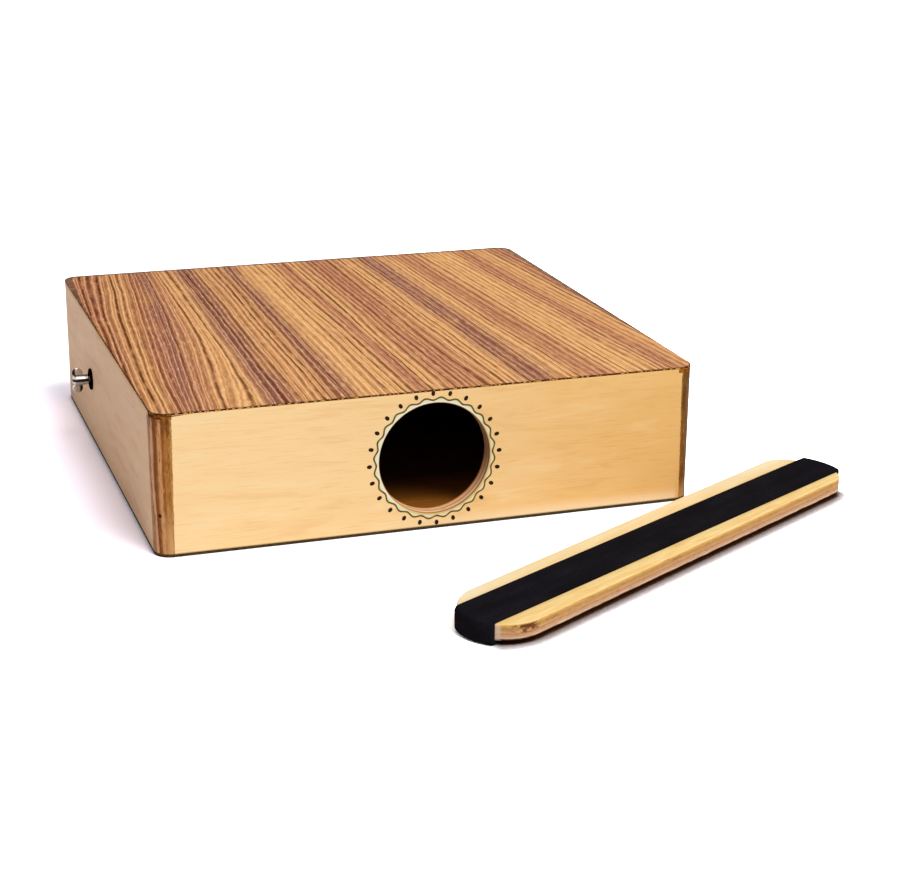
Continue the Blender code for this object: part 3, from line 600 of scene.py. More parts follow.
@dataclass(frozen=True)
class BarPly:
    """Lacquered plywood bar: yellow-cream faces, and an edge of pinkish and golden plies.

    The upper edge is chipped brown along the front of the near end. The edge is painted dark at its foot as contact
    shade, and a painted highlight lies on its front beside the tape at the near end.
    """

    centre: tuple[float, float, float]
    turn: float
    low: float
    high: float
    half_length: float

    def build(self) -> bpy.types.Material:
        """Make the material."""
        material, tree, shader = new_material("bar_plywood")
        frame_at = (self.centre, self.turn)
        figure = noise(tree, place(tree, (22 * MM, 3 * MM, 6 * MM), *frame_at), 4.0, 0.6, 0.4)
        face = ramp(tree, figure, [(0.32, "#F2C67C"), (0.5, "#F8D48C"), (0.68, "#FCE2A8")])
        _, _, z = object_axes(tree)
        own = place(tree, (1.0, 1.0, 1.0), *frame_at)
        along, beside = axis_of(tree, own, 0), axis_of(tree, own, 1)
        streak = noise(tree, place(tree, (9 * MM, 9 * MM, 0.7 * MM), *frame_at), 3.0, 0.6)
        share = maths(tree, "DIVIDE", maths(tree, "SUBTRACT", z, self.low), self.high - self.low)
        layer = maths(tree, "MULTIPLY_ADD", streak, 0.20, maths(tree, "SUBTRACT", share, 0.10))
        # The lowest plies are painted dark as contact shade at the bar's foot.
        plies = ramp(tree, layer, [(0.0, "#2A140A"), (0.09, "#5A3220"), (0.15, "#FFE2BE"), (0.22, "#EAB88E"),
                                   (0.34, "#DCA684"), (0.42, "#C48A60"), (0.50, "#DCAA78"), (0.62, "#CC9A5C"),
                                   (0.72, "#C49250"), (0.82, "#D4A25A"), (0.92, "#E6BA74"), (1.0, "#F2CE88")])
        fleck = noise(tree, place(tree, (3.5 * MM, 3.5 * MM, 0.4 * MM), *frame_at), 3.0, 0.7)
        plies = blend(tree, spread(tree, fleck, 0.54, 0.70, 0.0, 0.55), plies, linear("#8E5A2C"))
        plies = blend(tree, spread(tree, fleck, 0.32, 0.44, 0.40, 0.0), plies, linear("#FBDCAA"))
        stain = noise(tree, place(tree, (14 * MM, 14 * MM, 2.2 * MM), *frame_at), 3.0, 0.6)
        plies = blend(tree, spread(tree, stain, 0.58, 0.76, 0.0, 0.55), plies, linear("#94562C"))
        chip = noise(tree, place(tree, (5 * MM, 5 * MM, 1.3 * MM), *frame_at), 3.0, 0.7)
        past = maths(tree, "ADD", along, self.half_length)
        front = spread(tree, beside, -16 * MM, -8 * MM, 1.0, 0.0)
        # Painted highlight on the front of the near end, beside the tape.
        plies = blend(tree, maths(tree, "MULTIPLY", front, spread(tree, past, 3.6 * MM, 5.2 * MM, 0.6, 0.0)), plies,
                      linear("#FFE8D2"))
        near = maths(tree, "MULTIPLY", spread(tree, past, 6 * MM, 11 * MM), spread(tree, past, 18 * MM, 26 * MM, 1.0, 0.0))
        near = maths(tree, "MULTIPLY", near, front)
        upper = maths(tree, "MULTIPLY", spread(tree, share, 0.30, 0.50), spread(tree, share, 0.86, 0.96, 1.0, 0.0))
        worn = maths(tree, "MULTIPLY", maths(tree, "MULTIPLY", near, upper), spread(tree, chip, 0.44, 0.56, 0.0, 0.9))
        plies = blend(tree, worn, plies, linear("#5C260E"))
        pale = maths(tree, "MULTIPLY_ADD", spread(tree, maths(tree, "ABSOLUTE", along), 70 * MM, 150 * MM), 0.4, 0.6)
        pale = maths(tree, "MULTIPLY", pale, spread(tree, beside, 8 * MM, 22 * MM, 0.0, 0.9))
        face = blend(tree, pale, face, linear("#FFF0CC"))
        top = spread(tree, z, self.high - 0.5 * MM, self.high - 0.2 * MM)
        bottom = spread(tree, z, self.low + 0.01 * MM, self.low + 0.04 * MM, 1.0, 0.0)
        flat = maths(tree, "MAXIMUM", top, bottom)
        tree.links.new(blend(tree, flat, plies, face), shader.inputs["Base Color"])
        tree.links.new(spread(tree, figure, 0.2, 0.8, 0.45, 0.6), shader.inputs["Roughness"])
        shader.inputs["Specular IOR Level"].default_value = 0.08
        tree.links.new(bump(tree, streak, 0.03 * MM), shader.inputs["Normal"])
        return material


@dataclass(frozen=True)
class LoopTape:
    """Black loop pile tape, woven with a fine matt nap that hides its threads."""

    centre: tuple[float, float, float]
    turn: float
    thread: float = 0.9 * MM

    def build(self) -> bpy.types.Material:
        """Make the material."""
        material, tree, shader = new_material("black_loop_tape")
        nap = noise(tree, place(tree, (self.thread,) * 3, self.centre, self.turn), 3.0, 0.7)
        cloud = noise(tree, place(tree, (30 * MM, 9 * MM, 9 * MM), self.centre, self.turn), 2.0)
        both = maths(tree, "MULTIPLY_ADD", nap, 0.6, maths(tree, "MULTIPLY", cloud, 0.4))
        colour = ramp(tree, both, [(0.35, "#151316"), (0.55, "#1C1A1F"), (0.72, "#29262C")])
        tree.links.new(colour, shader.inputs["Base Color"])
        shader.inputs["Roughness"].default_value = 0.95
        shader.inputs["Specular IOR Level"].default_value = 0.0
        tree.links.new(bump(tree, nap, 0.2 * MM), shader.inputs["Normal"])
        return material


@dataclass(frozen=True)
class Plain:
    """A turned, pressed or moulded finish with a fine handling pattern in colour and gloss."""

    name: str
    colours: tuple[str, str]
    roughness: tuple[float, float]
    metallic: float = 0.0
    cell: tuple[float, float, float] = (3 * MM, 3 * MM, 3 * MM)
    depth: float = 0.005 * MM
    specular: float = 0.2

    def build(self) -> bpy.types.Material:
        """Make the material."""
        material, tree, shader = new_material(self.name)
        marks = noise(tree, place(tree, self.cell), 3.0, 0.6)
        tree.links.new(ramp(tree, marks, [(0.35, self.colours[0]), (0.65, self.colours[1])]),
                       shader.inputs["Base Color"])
        low, high = self.roughness
        tree.links.new(spread(tree, marks, 0.3, 0.7, low, high), shader.inputs["Roughness"])
        shader.inputs["Metallic"].default_value = self.metallic
        if not self.metallic:
            shader.inputs["Specular IOR Level"].default_value = self.specular
        tree.links.new(bump(tree, marks, self.depth), shader.inputs["Normal"])
        return material


@dataclass(frozen=True)
class KnobChrome:
    """Polished chrome of the wing knob, with painted dark reflections beside its hub and along each wing.

    The hub has painted dark reflections along its middle and at its top, with a bright stripe between.
    Each wing has a painted dark reflection along one flank, the upper one on its outer side and the
    lower one on its inner side.
    """

    middle: tuple[float, float]
    hub: float

    def build(self) -> bpy.types.Material:
        """Make the material."""
        material, tree, shader = new_material("chromed_zinc")
        x, _, z = object_axes(tree)
        rise = maths(tree, "SUBTRACT", z, self.middle[1])
        away = maths(tree, "ABSOLUTE", rise)
        flank = maths(tree, "MULTIPLY", maths(tree, "SIGN", rise), maths(tree, "SUBTRACT", x, self.middle[0]))
        on_wing = spread(tree, away, self.hub - 0.2 * MM, self.hub + 0.2 * MM)
        # Painted dark reflection along one flank of each wing.
        wing = maths(tree, "MULTIPLY", spread(tree, flank, -1.7 * MM, -0.7 * MM, 1.0, 0.0), on_wing)
        # Painted dark reflections along the hub's middle and at its top.
        hub_reflection = maths(tree, "MULTIPLY", spread(tree, rise, -0.6 * MM, -0.2 * MM),
                       spread(tree, rise, 1.0 * MM, 1.4 * MM, 1.0, 0.0))
        top = maths(tree, "MULTIPLY", spread(tree, rise, 2.6 * MM, 2.9 * MM), spread(tree, rise, 3.2 * MM, 3.5 * MM, 1.0, 0.0))
        hub_reflection = maths(tree, "MAXIMUM", hub_reflection, top)
        marks = noise(tree, place(tree, (1.5 * MM, 1.5 * MM, 1.5 * MM)), 3.0, 0.6)
        dark_reflection = maths(tree, "MULTIPLY", maths(tree, "MAXIMUM", wing, hub_reflection), spread(tree, marks, 0.2, 0.4, 0.7, 1.0))
        bright = ramp(tree, marks, [(0.35, "#C4BDB8"), (0.65, "#E2DCD8")])
        tree.links.new(blend(tree, dark_reflection, bright, linear("#2A221E")), shader.inputs["Base Color"])
        tree.links.new(spread(tree, marks, 0.3, 0.7, 0.12, 0.24), shader.inputs["Roughness"])
        shader.inputs["Metallic"].default_value = 1.0
        tree.links.new(bump(tree, marks, 0.004 * MM), shader.inputs["Normal"])
        return material


@dataclass(frozen=True)
class PaleBand:
    """Printed pale band round the sound hole, whitish at the hole and greenish cream outside."""

    start: float
    height: float

    def build(self) -> bpy.types.Material:
        """Make the material."""
        material, tree, shader = new_material("pale_inlay_ink")
        x, _, z = object_axes(tree)
        reach = add(tree, "VectorMath", {0: pair(tree, x, maths(tree, "SUBTRACT", z, self.height))},
                    operation="LENGTH").outputs["Value"]
        wobble = swing(tree, place(tree, (3 * MM, 3 * MM, 3 * MM)), 0.5 * MM)
        share = maths(tree, "DIVIDE", maths(tree, "SUBTRACT", maths(tree, "ADD", reach, wobble), self.start), 2 * MM)
        white = ramp(tree, share, [(0.0, "#F4F0E2"), (0.35, "#F2EED8"), (0.6, "#EAE6BC"), (1.0, "#ECE2B0")])
        cream = ramp(tree, share, [(0.0, "#C8A46A"), (0.16, "#E2CC98"), (0.5, "#EEE2B4"), (1.0, "#EEDCA2")])
        lower_right = maths(tree, "MULTIPLY_ADD", maths(tree, "SUBTRACT", z, self.height), -1.0, x)
        colour = blend(tree, spread(tree, lower_right, -6 * MM, 22 * MM), white, cream)
        tree.links.new(colour, shader.inputs["Base Color"])
        tree.links.new(spread(tree, wobble, -0.1 * MM, 0.1 * MM, 0.5, 0.6), shader.inputs["Roughness"])
        shader.inputs["Specular IOR Level"].default_value = 0.1
        return material


class Finishes:
    """Every finish of the object, made once and looked up by name."""

    def __init__(self, box: "BoxSizes", bar: "BarSizes") -> None:
        """Build the materials.

        Args:
            box: Sizes of the drum's box.
            bar: Sizes of the lap bar.
        """
        steel = ("#B9BBBE", "#C9CBCD")
        heights = (box.wall_low, box.wall_high)
        wall = (box.wall, -1, *heights)
        makers = {
            "zebrano": Zebrano(box.half_width, box.half_depth, box.corner_radius, box.top),
            "front": FrontPly("birch_plywood_front", Grain.ALONG_X, box.half_depth, *wall),
            "back": BirchWall("birch_plywood_back", Grain.ALONG_X, box.half_depth, box.wall, 1, *heights),
            "left": BirchWall("birch_plywood_left", Grain.ALONG_Y, box.half_width, *wall),
            "right": BirchWall("birch_plywood_right", Grain.ALONG_Y, box.half_width, box.wall, 1, *heights, RIGHT_END),
            "bottom": ShadedBottom(-box.half_depth + box.wall),
            "spruce": RawWood("raw_spruce", (7 * MM, 7 * MM, 40 * MM), ("#5E4022", "#7A5630", "#8E683C")),
            "beech": RawWood("raw_beech", (60 * MM, 4 * MM, 4 * MM), ("#B98A60", "#CB9D72", "#D8AE85")),
            "bar": BarPly(bar.centre, bar.turn, bar.low, bar.high, bar.length / 2),
            "tape": LoopTape(bar.centre, bar.turn),
            "sheet": Plain("black_grip_sheet", ("#41351F", "#544628"), (0.8, 0.92),
                           cell=(1.6 * MM, 1.6 * MM, 1.6 * MM), depth=0.1 * MM, specular=0.0),
            "nylon": Plain("black_moulded_nylon", ("#060404", "#0C0908"), (0.7, 0.8), specular=0.0),
            "chrome": KnobChrome((corner("wing_knob", 1, 0) - 6.7 * MM,
                                  (corner("snare_rod", 0, 2) + corner("snare_rod", 1, 2)) / 2), 3.1 * MM),
            "steel": Plain("nickelled_steel", steel, (0.22, 0.36), 1.0, (30 * MM, 0.8 * MM, 0.8 * MM)),
            "screw": Plain("zinc_plated_steel", ("#A9A99F", "#C2C1B5"), (0.3, 0.45), 1.0),
            "brass": Plain("rolled_brass_sheet", ("#B08D4A", "#C9A65E"), (0.28, 0.42), 1.0),
            "wire": Plain("drawn_spring_wire", ("#A8AAAC", "#BDBFC1"), (0.25, 0.4), 1.0),
            "ink": Plain("dark_olive_ink", ("#4A4422", "#6C6438"), (0.55, 0.7), specular=0.1),
            "dot": Plain("dark_brown_ink", ("#1E120A", "#32210F"), (0.55, 0.7), specular=0.1),
            "cream": PaleBand(box.hole_radius + box.hole_ease, box.hole_height),
        }
        self.made = {key: maker.build() for key, maker in makers.items()}

    def __getitem__(self, key: str) -> bpy.types.Material:
        """The finish of that name."""
        return self.made[key]


def surface(name: str, rings: np.ndarray, material: bpy.types.Material, close_across: bool = False,
            sharp: float = 32.0) -> bpy.types.Object:
    """Turn a grid of points into a closed surface with its normals outwards.

    A point is a function of the ring (first index) and the place along the ring (second index).
    Each ring is closed. The rings join into a loop when close_across is set, and otherwise the
    first and the last ring are capped.

    Args:
        name: The piece's name.
        rings: Points, rings by places by 3.
        material: The piece's finish.
        close_across: Join the last ring to the first.
        sharp: Angle in degrees past which an edge stays sharp.

    Returns:
        The new object.
    """
    count, size = rings.shape[:2]
    index = np.arange(count * size).reshape(count, size)
    start = index if close_across else index[:-1]
    following = np.roll(index, -1, axis=0) if close_across else index[1:]
    quads = np.stack([start, np.roll(start, -1, 1), np.roll(following, -1, 1), following], axis=-1)
    faces = [tuple(quad) for quad in quads.reshape(-1, 4).tolist()]
    if not close_across:
        faces += [tuple(index[0][::-1].tolist()), tuple(index[-1].tolist())]
    mesh = bpy.data.meshes.new(name)
    mesh.from_pydata(rings.reshape(-1, 3).tolist(), [], faces)
    shape = bmesh.new()
    shape.from_mesh(mesh)
    bmesh.ops.remove_doubles(shape, verts=shape.verts, dist=0.000002)
    bmesh.ops.recalc_face_normals(shape, faces=shape.faces)
    shape.to_mesh(mesh)
    shape.free()
    mesh.shade_smooth()
    mesh.set_sharp_from_angle(angle=math.radians(sharp))
    mesh.materials.append(material)
    piece = bpy.data.objects.new(name, mesh)
    bpy.context.scene.collection.objects.link(piece)
    return piece


def rounded_plan(width: float, depth: float, radius: float, steps: int = 24) -> tuple[np.ndarray, np.ndarray]:
    """Outline of a rounded rectangle with its outward normals.

    Each corner is a quarter circle: centre plus radius times (cos a, sin a), and the normal is
    that direction.

    Returns:
        Points and normals, both n by 2.
    """
    angle = np.concatenate([np.linspace(quarter, quarter + 90, steps + 1) for quarter in (0, 90, 180, 270)])
    angle = np.radians(angle)
    normals = np.stack([np.cos(angle), np.sin(angle)], axis=1)
    signs = np.repeat(np.array([(1, 1), (-1, 1), (-1, -1), (1, -1)]), steps + 1, axis=0)
    centres = signs * np.array([width / 2 - radius, depth / 2 - radius])
    return centres + radius * normals, normals


def eased_section(low: float, high: float, lower: float, upper: float, steps: int = 4) -> np.ndarray:
    """Section of a plate's rim: (inset, height) from the lower face round both edges.

    The lower and the upper edge are quarter circles of their own radii, 0 for a sharp edge.
    """
    turn = np.linspace(0, math.pi / 2, steps + 1)
    below = np.stack([lower * (1 - np.sin(turn)), low + lower * (1 - np.cos(turn))], axis=1)
    above = np.stack([upper * (1 - np.cos(turn)), high - upper * (1 - np.sin(turn))], axis=1)
    return np.concatenate([below, above])


def plate(plan: np.ndarray, normals: np.ndarray, section: np.ndarray) -> np.ndarray:
    """Rings of a plate: each section step carries the whole plan inwards and to its height."""
    rings = np.empty((len(section), len(plan), 3))
    rings[..., :2] = plan[None] - normals[None] * section[:, None, :1]
    rings[..., 2] = section[:, None, 1]
    return rings


def turned(profile: np.ndarray, steps: int) -> np.ndarray:
    """Rings of a turned shape about Z: each profile point (radius, height) makes one circle."""
    angle = np.linspace(0, 2 * math.pi, steps, endpoint=False)
    rings = np.empty((len(profile), steps, 3))
    rings[..., 0] = profile[:, :1] * np.cos(angle)
    rings[..., 1] = profile[:, :1] * np.sin(angle)
    rings[..., 2] = profile[:, 1:]
    return rings


def moved(points: np.ndarray, matrix: Matrix) -> np.ndarray:
    """Points carried by a matrix."""
    values = np.array(matrix)
    return points @ values[:3, :3].T + values[:3, 3]


def applied(piece: bpy.types.Object, helper: bpy.types.Object, operation: str) -> bpy.types.Object:
    """Cut or join a piece with a helper for good, and remove the helper."""
    modifier = piece.modifiers.new("shape", "BOOLEAN")
    modifier.operation = operation
    modifier.object = helper
    modifier.solver = "EXACT"
    evaluated = piece.evaluated_get(bpy.context.evaluated_depsgraph_get())
    mesh = bpy.data.meshes.new_from_object(evaluated)
    piece.modifiers.clear()
    piece.data = mesh
    bpy.data.objects.remove(helper, do_unlink=True)
    mesh.shade_smooth()
    mesh.set_sharp_from_angle(angle=math.radians(32))
    return piece


def settle(piece: bpy.types.Object, body: Body, slot: str | None = None, *nodes: str) -> bpy.types.Object:
    """Let a piece ride on its body, hide the frame's nodes that it stands for, and log it."""
    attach(piece, body.value)
    if nodes:
        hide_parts(*nodes)
    LOG.info("%s rides on %s, %d faces", piece.name, body.value, len(piece.data.polygons))
    return piece


def corner(node: str, side: int, axis: int) -> float:
    """One coordinate of a node's box: side 0 is its lowest corner and 1 its highest."""
    return float(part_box(node)[side][axis])


@dataclass
class BoxSizes:
    """Sizes of the drum's box, read from the frame."""

    half_width: float = field(default_factory=lambda: corner("top_panel", 1, 0))
    half_depth: float = field(default_factory=lambda: corner("top_panel", 1, 1))
    top: float = field(default_factory=lambda: corner("top_panel", 1, 2))
    wall: float = field(default_factory=lambda: corner("left_side_panel", 1, 0) - corner("left_side_panel", 0, 0))
    wall_low: float = field(default_factory=lambda: corner("front_panel", 0, 2))
    wall_high: float = field(default_factory=lambda: corner("front_panel", 1, 2))
    sheet_top: float = field(default_factory=lambda: corner("base_sheet", 1, 2))
    hole_radius: float = 31.2 * MM
    hole_height: float = 40 * MM
    hole_ease: float = 0.6 * MM
    corner_radius: float = 9 * MM
    seam: float = 0.05 * MM


@dataclass
class BarSizes:
    """Sizes and place of the lap bar; its heights are read from the frame."""

    low: float = field(default_factory=lambda: corner("lap_bar", 0, 2))
    high: float = field(default_factory=lambda: corner("lap_bar", 1, 2))
    tape_high: float = field(default_factory=lambda: corner("lap_bar_tape", 1, 2))
    place: tuple[float, float] = (102.5 * MM, -222.1 * MM)
    turn: float = math.radians(29.67)
    length: float = 305.5 * MM
    width: float = 48 * MM
    far_radius: float = 34 * MM
    far_corner: float = 14 * MM
    near_radius: float = 22 * MM
    near_widening: float = math.radians(150)
    tape_width: float = 25 * MM
    tape_offset: float = -2.7 * MM
    tape_skew: float = math.radians(-0.8)

    @property
    def centre(self) -> tuple[float, float, float]:
        """Middle of the bar."""
        return (*self.place, (self.low + self.high) / 2)

    @property
    def matrix(self) -> Matrix:
        """Where the bar lies: its own X runs along it, from the floor up."""
        return Matrix.Translation((*self.place, 0)) @ Matrix.Rotation(self.turn, 4, "Z")

    @property
    def tape_matrix(self) -> Matrix:
        """Where the tape lies on the bar: a little off its middle line and askew."""
        return self.matrix @ Matrix.Translation((0, self.tape_offset, 0)) @ Matrix.Rotation(self.tape_skew, 4, "Z")

    def outline(self, steps: int) -> tuple[np.ndarray, np.ndarray]:
        """Outline of the bar with its outward normals: a chain of arcs on common tangents.

        The far end is a shallow arc between two tighter corners. The near end is rounder and runs
        out in a wider arc towards its back side. A point is an arc's centre plus its radius times
        (cos a, sin a), and its normal is that direction.

        Args:
            steps: Number of points on each arc.

        Returns:
            Points and normals, both n by 2, counter-clockwise.
        """
        half, quarter = self.width / 2, math.pi / 2
        far_x = self.length / 2 - self.far_radius
        corner_y = half - self.far_corner
        corner_x = far_x + math.sqrt((self.far_radius - self.far_corner) ** 2 - corner_y ** 2)
        turn = math.atan2(corner_y, corner_x - far_x)
        near = np.array([self.near_radius - self.length / 2, self.near_radius - half])
        leaving = np.array([math.cos(self.near_widening), math.sin(self.near_widening)])
        wide = (half - near[1] - self.near_radius * leaving[1]) / (1 - leaving[1])
        chain = (((corner_x, -corner_y), self.far_corner, -quarter, -turn),
                 ((far_x, 0.0), self.far_radius, -turn, turn),
                 ((corner_x, corner_y), self.far_corner, turn, quarter),
                 (near - (wide - self.near_radius) * leaving, wide, quarter, self.near_widening),
                 (near, self.near_radius, self.near_widening, 3 * quarter))
        angle = np.stack([np.linspace(start, end, steps) for _, _, start, end in chain])
        normals = np.stack([np.cos(angle), np.sin(angle)], axis=-1)
        centres = np.array([link[0] for link in chain])[:, None]
        radii = np.array([link[1] for link in chain])[:, None, None]
        return (centres + radii * normals).reshape(-1, 2), normals.reshape(-1, 2)


@dataclass
class Box:
    """The glued box: striking panel, walls, sheet, and the blocks inside."""

    sizes: BoxSizes
    finishes: Finishes

    def striking_panel(self) -> None:
        """Veneered panel: the rounded plan with an eased rim."""
        s = self.sizes
        plan, normals = rounded_plan(2 * s.half_width, 2 * s.half_depth, s.corner_radius)
        section = eased_section(s.wall_high, s.top, 0.0, 0.35 * MM)
        piece = surface("striking_panel", plate(plan, normals, section), self.finishes["zebrano"])
        settle(piece, Body.BOX, "zebrano_veneer", "top_panel")

    def grip_sheet(self) -> None:
        """Thin dark sheet under the whole box, up to the walls."""
        s = self.sizes
        plan, normals = rounded_plan(2 * s.half_width, 2 * s.half_depth, s.corner_radius)
        section = eased_section(0.0, s.wall_low - s.seam, 0.3 * MM, 0.3 * MM)
        piece = surface("grip_sheet", plate(plan, normals, section), self.finishes["sheet"])
        settle(piece, Body.BOX, "black_sheet", "base_sheet")

    def end_wall(self, name: str, node: str, finish: str, side: int, hole: bool) -> None:
        """Front or back wall.

        With a hole, each ray from the hole's centre gives one section of the wall: the hole's
        wall with an eased rim, out along the face to the outline, across the edge and back along
        the other face. The outline's distance is the least of the two sides that the ray meets.
        """
        s = self.sizes
        across = s.half_width - s.wall
        if not hole:
            plan = np.array([(1, 1), (-1, 1), (-1, -1), (1, -1)]) * np.array([across, s.wall / 2])
            normals = np.sign(plan)
            rings = plate(plan, normals, eased_section(s.wall_low, s.wall_high, 0.0, 0.0))
            rings[..., 1] += side * (s.half_depth - s.wall / 2)
            piece = surface(name, rings, self.finishes[finish])
        else:
            up, down = s.wall_high - s.hole_height, s.hole_height - s.wall_low
            exact = [math.atan2(z, x) for x in (across, -across) for z in (up, -down)]
            angle = np.sort(np.concatenate([np.linspace(-math.pi, math.pi, 240, endpoint=False), exact]))
            ray = np.stack([np.cos(angle), np.sin(angle)], axis=1)
            vertical = np.where(ray[:, 1] > 0, up, down) / np.maximum(np.abs(ray[:, 1]), 1e-9)
            reach = np.minimum(across / np.maximum(np.abs(ray[:, 0]), 1e-9), vertical)
            outer, inner = -s.half_depth, -s.half_depth + s.wall
            turn = np.linspace(0, math.pi / 2, 6)
            rim = s.hole_ease
            front = np.stack([s.hole_radius + rim * (1 - np.cos(turn)), outer + rim * (1 - np.sin(turn))], 1)
            back = np.stack([s.hole_radius + rim * (1 - np.cos(turn)), inner - rim * (1 - np.sin(turn))], 1)
            rows = [(point[0], 0.0, point[1]) for point in front]
            rows += [(0.0, share, outer) for share in (0.25, 0.6)]
            rows += [(0.0, 1.0, y) for y in (outer, inner)]
            rows += [(0.0, share, inner) for share in (0.6, 0.25)]
            rows += [(point[0], 0.0, point[1]) for point in back[::-1]]
            rings = np.empty((len(rows), len(angle), 3))
            for row, (radius, share, y) in enumerate(rows):
                base = s.hole_radius + rim
                distance = radius if share == 0.0 else base + (reach - base) * share
                rings[row, :, 0] = ray[:, 0] * distance
                rings[row, :, 1] = y
                rings[row, :, 2] = s.hole_height + ray[:, 1] * distance
            piece = surface(name, rings, self.finishes[finish], close_across=True)
        settle(piece, Body.BOX, "birch_plywood", node)

    def side_wall(self, name: str, node: str, side: int) -> None:
        """Side wall: a plan with a quarter round at both outer corners, drawn upwards."""
        s = self.sizes
        inner = s.half_width - s.wall
        end = s.half_depth - s.corner_radius
        angle = np.radians(np.concatenate([np.linspace(-90, 0, 33), np.linspace(0, 90, 33)]))
        normals = np.stack([np.cos(angle), np.sin(angle)], axis=1)
        centres = np.stack([np.full(66, inner), np.repeat([-end, end], 33)], axis=1)
        plan = centres + s.corner_radius * normals
        plan = np.concatenate([plan, [(inner, s.half_depth), (inner, -s.half_depth)]])
        normals = np.concatenate([normals, [(-1, 0), (-1, 0)]])
        rings = plate(plan, normals, eased_section(s.wall_low, s.wall_high, 0.15 * MM, 0.0))
        rings[..., 0] *= side
        finish = self.finishes["left" if side < 0 else "right"]
        piece = surface(name, rings, finish)
        if side < 0:
            low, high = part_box("knob_bush")
            profile = np.array([(0, -s.wall), (4.3 * MM, -s.wall), (4.3 * MM, s.wall), (0, s.wall)])
            middle = Vector((-s.half_width + s.wall / 2, (low[1] + high[1]) / 2, (low[2] + high[2]) / 2))
            matrix = Matrix.Translation(middle) @ Matrix.Rotation(math.radians(90), 4, "Y")
            cutter = surface("bush_hole", moved(turned(profile, 40), matrix), finish)
            piece = applied(piece, cutter, "DIFFERENCE")
        settle(piece, Body.BOX, "birch_plywood", node)

    def inner_pieces(self) -> None:
        """Give the blocks, cleats and bottom their raw wood."""
        for node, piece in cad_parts.items():
            if node.startswith("corner_block"):
                piece.material_slots[0].material = self.finishes["spruce"]
            if node == "bottom_panel" or node.startswith("bottom_cleat"):
                piece.material_slots[0].material = self.finishes["bottom"]

    def build(self) -> None:
        """Build the whole box."""
        self.striking_panel()
        self.grip_sheet()
        self.end_wall("front_wall", "front_panel", "front", -1, True)
        self.end_wall("back_wall", "back_panel", "back", 1, False)
        self.side_wall("left_wall", "left_side_panel", -1)
        self.side_wall("right_wall", "right_side_panel", 1)
        self.inner_pieces()


@dataclass
class Rosette:
    """Printed ornament round the sound hole: a pale band, a wavy line and a ring of dots."""

    sizes: BoxSizes
    finishes: Finishes
    waves: int = 24
    wave_radius: float = 33.7 * MM
    wave_height: float = 0.7 * MM
    line: float = 0.95 * MM
    dot: tuple[float, float] = (1.45 * MM, 1.1 * MM)
    dot_ring: float = 36.8 * MM
    turn: float = math.radians(1.8)
    film: float = 0.04 * MM

    def ring(self, inner: np.ndarray, outer: np.ndarray, angle: np.ndarray, lift: float) -> np.ndarray:
        """Rings of a flat band between two radii, on the front face, with the film's thickness."""
        face = -self.sizes.half_depth
        rows = [(inner, face + lift), (outer, face + lift), (outer, face - lift), (inner, face - lift)]
        rings = np.empty((4, len(angle), 3))
        for row, (radius, y) in enumerate(rows):
            rings[row, :, 0] = radius * np.cos(angle)
            rings[row, :, 1] = y
            rings[row, :, 2] = self.sizes.hole_height + radius * np.sin(angle)
        return rings

    def build(self) -> None:
        """Build the three printed pieces.

        The wavy line's radius is the mean radius plus the wave's height times the cosine of the
        number of waves times the angle, with its peaks half way between the dots.
        """
        angle = np.linspace(0, 2 * math.pi, self.waves * 20, endpoint=False)
        wave = self.wave_radius - self.wave_height * np.cos(self.waves * (angle - self.turn))
        start = np.full_like(angle, self.sizes.hole_radius + self.sizes.hole_ease)
        band = surface("rosette_band", self.ring(start, wave, angle, self.film), self.finishes["cream"], True)
        settle(band, Body.BOX)
        rings = self.ring(wave - self.line / 2, wave + self.line / 2, angle, 1.5 * self.film)
        settle(surface("rosette_wave", rings, self.finishes["ink"], True), Body.BOX)
        face = -self.sizes.half_depth
        edge = np.linspace(0, 2 * math.pi, 20, endpoint=False)
        mesh = bmesh.new()
        for step in range(self.waves):
            at = self.turn + 2 * math.pi * step / self.waves
            outward, beside = self.dot_ring + self.dot[0] * np.cos(edge), self.dot[1] * np.sin(edge)
            x = outward * math.cos(at) - beside * math.sin(at)
            z = self.sizes.hole_height + outward * math.sin(at) + beside * math.cos(at)
            loops = [[mesh.verts.new((a, y, b)) for a, b in zip(x, z)]
                     for y in (face + self.film, face - 1.5 * self.film)]
            mesh.faces.new(loops[0])
            mesh.faces.new(loops[1][::-1])
            for i in range(len(edge)):
                j = (i + 1) % len(edge)
                mesh.faces.new((loops[0][j], loops[0][i], loops[1][i], loops[1][j]))
        bmesh.ops.recalc_face_normals(mesh, faces=mesh.faces)
        data = bpy.data.meshes.new("rosette_dots")
        mesh.to_mesh(data)
        mesh.free()
        data.materials.append(self.finishes["dot"])
        dots = bpy.data.objects.new("rosette_dots", data)
        bpy.context.scene.collection.objects.link(dots)
        settle(dots, Body.BOX)


